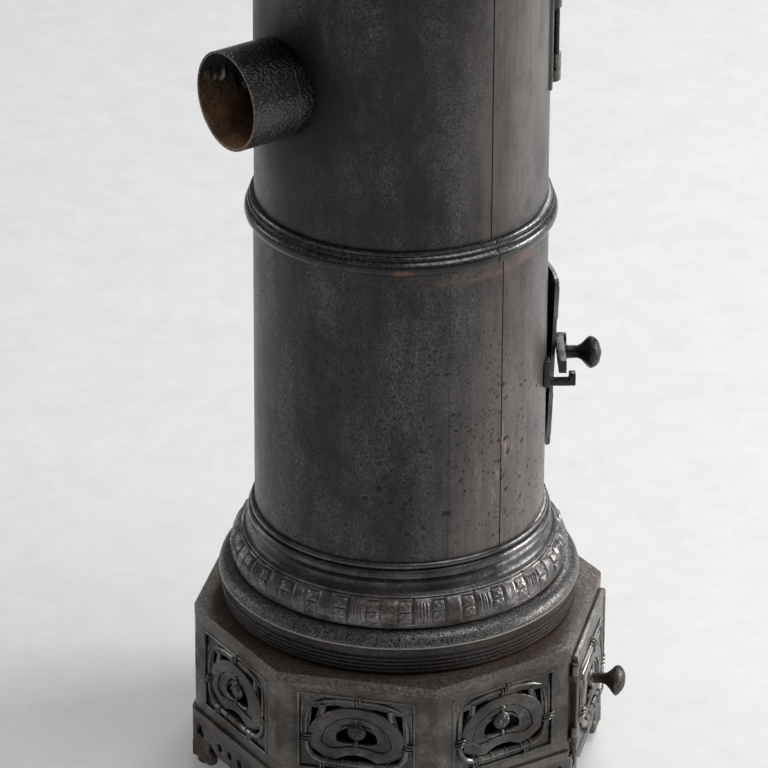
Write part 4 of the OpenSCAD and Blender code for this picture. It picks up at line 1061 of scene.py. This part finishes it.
def door_front(door, low, high, corner, latch_side):
    """The mouldings of a door's face, made flat and then bent to it; low and high are in metres."""
    width, height, face_reach = 156, (high - low) * 1000, 155
    border = fine(frame_outline(width - 13, height - 13, corner), True)
    free = [(x, y) for x, y in border if not (x * latch_side > 50 and -32 < y < 44)]
    start = max(range(len(free)), key=lambda k: dist(free[k], free[k - 1]))
    pieces = [rod(raised(free[start:] + free[:start], 0.1), 1.7, ends=(0.5, 0.5))]
    pieces.append(rod(raised(fine(frame_outline(88, height - 46, 8), True), 0), 0.9, True))
    for rx, ry, r in ((31, 38, 2.1), (26.5, 33, 0.9), (15, 19, 1.1)):
        pieces.append(rod(raised(arc(0, 0, rx, ry, 0, 352, 44), 0.1), r, True))
    pieces.append(ball((0, 0, 0), 8.5, 0.5, 20))
    for x, y in arc(0, 0, 20.8, 26, 22.5, 337.5, 7):
        pieces.append(ball((x, y, 0), 2.2, 0.6, 10))
    for hand in (-1, 1):
        for k in range(3):
            y = hand * (height / 2 - 29 - 4.4 * k)
            reed = fine([(-30 + 3 * k, y), (30 - 3 * k, y)])
            pieces.append(rod(raised(reed, -0.1), 1.5, ends=(0.3, 0.3)))
    front = joined(door + "_front", pieces)
    bottom, top = front_radius(door, low + 0.02), front_radius(door, high - 0.02)
    for vertex in front.data.vertices:
        x, y, up = vertex.co
        z = (low + high) / 2 * 1000 + y
        reach = (bottom + (top - bottom) * (z / 1000 - low - 0.02) / (high - low - 0.04)) * 1000 + up
        turn = x / face_reach
        vertex.co = (reach * sin(turn), -reach * cos(turn), z)
    return settled(front, door_iron, door, angle=60)


door_iron = cast_iron(
    "column door iron", (0.034, 0.032, 0.031), (0.2, 0.19, 0.175), (0.085, 0.05, 0.034), rusty=0.6, start=0.52,
    fineness=300, rough=(0.26, 0.44), bump=0.8,
)
door_front("fire_door", 0.351, 0.54, corner=6, latch_side=-1)
door_front("upper_door", 0.752, 0.91, corner=34, latch_side=1)
paint_nodes(door_iron, "fire_door", "upper_door", "fire_hinge", "upper_hinge", "fire_frame", "upper_frame")


# ---- Latches, keepers and hinge pins
# Forged bars that drop behind bent keepers, each with a mushroom knob; dark and greasy from
# hands, with rust where they rub.
def forged(node, body, rounding, uneven, angle=35):
    """A copy of a CAD piece whose corners are hammered round and whose faces are slightly uneven."""
    piece = linked(node + "_forged", nodes[node].data.copy())
    piece.data.transform(Matrix.Scale(1000, 4))
    edit_all()
    bpy.ops.mesh.remove_doubles(threshold=0.01)
    bpy.ops.mesh.dissolve_limited(angle_limit=radians(3))
    bpy.ops.object.mode_set(mode="OBJECT")
    bevel = piece.modifiers.new("corners", "BEVEL")
    bevel.width, bevel.segments, bevel.angle_limit = rounding, 3, radians(40)
    bpy.ops.object.modifier_apply(modifier="corners")
    for vertex in piece.data.vertices:
        vertex.co += uneven * noise.noise_vector(vertex.co * 0.12)
    settled(piece, latch_iron, body, [node], angle=angle)


latch_iron = cast_iron(
    "latch iron", (0.0095, 0.009, 0.0086), (0.085, 0.077, 0.07), (0.042, 0.025, 0.018), rusty=0.6, start=0.55,
    rough=(0.2, 0.38), bump=1.2,
)
noise.seed_set(1)
for door in ("fire", "upper"):
    forged(door + "_knob", door + "_latch", 0.8, 1.3, angle=24)
    forged(door + "_latch", door + "_latch", 1.3, 0.25)
    forged(door + "_keeper", "stove", 1.3, 0.3)
paint_nodes(latch_iron, "fire_latch_pin", "upper_latch_pin", "fire_hinge_pin", "upper_hinge_pin", "rivets")


# ---- Cornice, top plate and lid
# The cast head of the column: a moulding round the upper drum, a flat plate that the tie rods
# clamp down, and a loose lid with a turned knob. The flat tops are scorched and dusty.
top_plate_iron = cast_iron(
    "scorched iron", (0.03, 0.027, 0.025), (0.14, 0.125, 0.11), (0.08, 0.05, 0.036), rusty=0.7, start=0.46,
    rough=(0.36, 0.58),
)
paint_nodes(collar_iron, "cornice")
paint_nodes(top_plate_iron, "top_plate", "lid")
paint_nodes(knob_iron, "lid_knob", "tie_nuts", "tie_rods")


# ---- Inside: fire and ash
# A ring holds a slotted cast grate and a wall of six fire bricks; under them the ash slides out in
# a folded sheet pan. The iron is burnt and grey with ash; the bricks are pale and smoked.
def brick_clay():
    """Pale gritty clay, smoked in patches."""
    paint, place = material("fire brick")
    grit = clouds(place, 260, 5, 0.7)
    colour = blend(grit, (0.4, 0.29, 0.19), (0.62, 0.5, 0.36))
    colour = blend(product(patches(place, 11, 0.38, 0.28), 0.85), colour, (0.045, 0.038, 0.033))
    return finished(paint, colour, 0.9, 0, Strength=0.7, Distance=0.001, Height=grit)


burnt_iron = cast_iron(
    "burnt iron", (0.045, 0.04, 0.037), (0.24, 0.22, 0.2), (0.15, 0.075, 0.042), rusty=0.85, start=0.42,
    rough=(0.55, 0.75),
)
pan_iron = cast_iron(
    "pan sheet", (0.05, 0.048, 0.046), (0.22, 0.21, 0.2), (0.15, 0.08, 0.045), rusty=0.7, start=0.5,
    fineness=500, rough=(0.32, 0.5), bump=0.2,
)
paint_nodes(brick_clay(), "firebricks")
paint_nodes(burnt_iron, "grate_ring", "grate", "fire_liner")
paint_nodes(pan_iron, "ash_pan", "ash_pan_handle", "panel_screws")
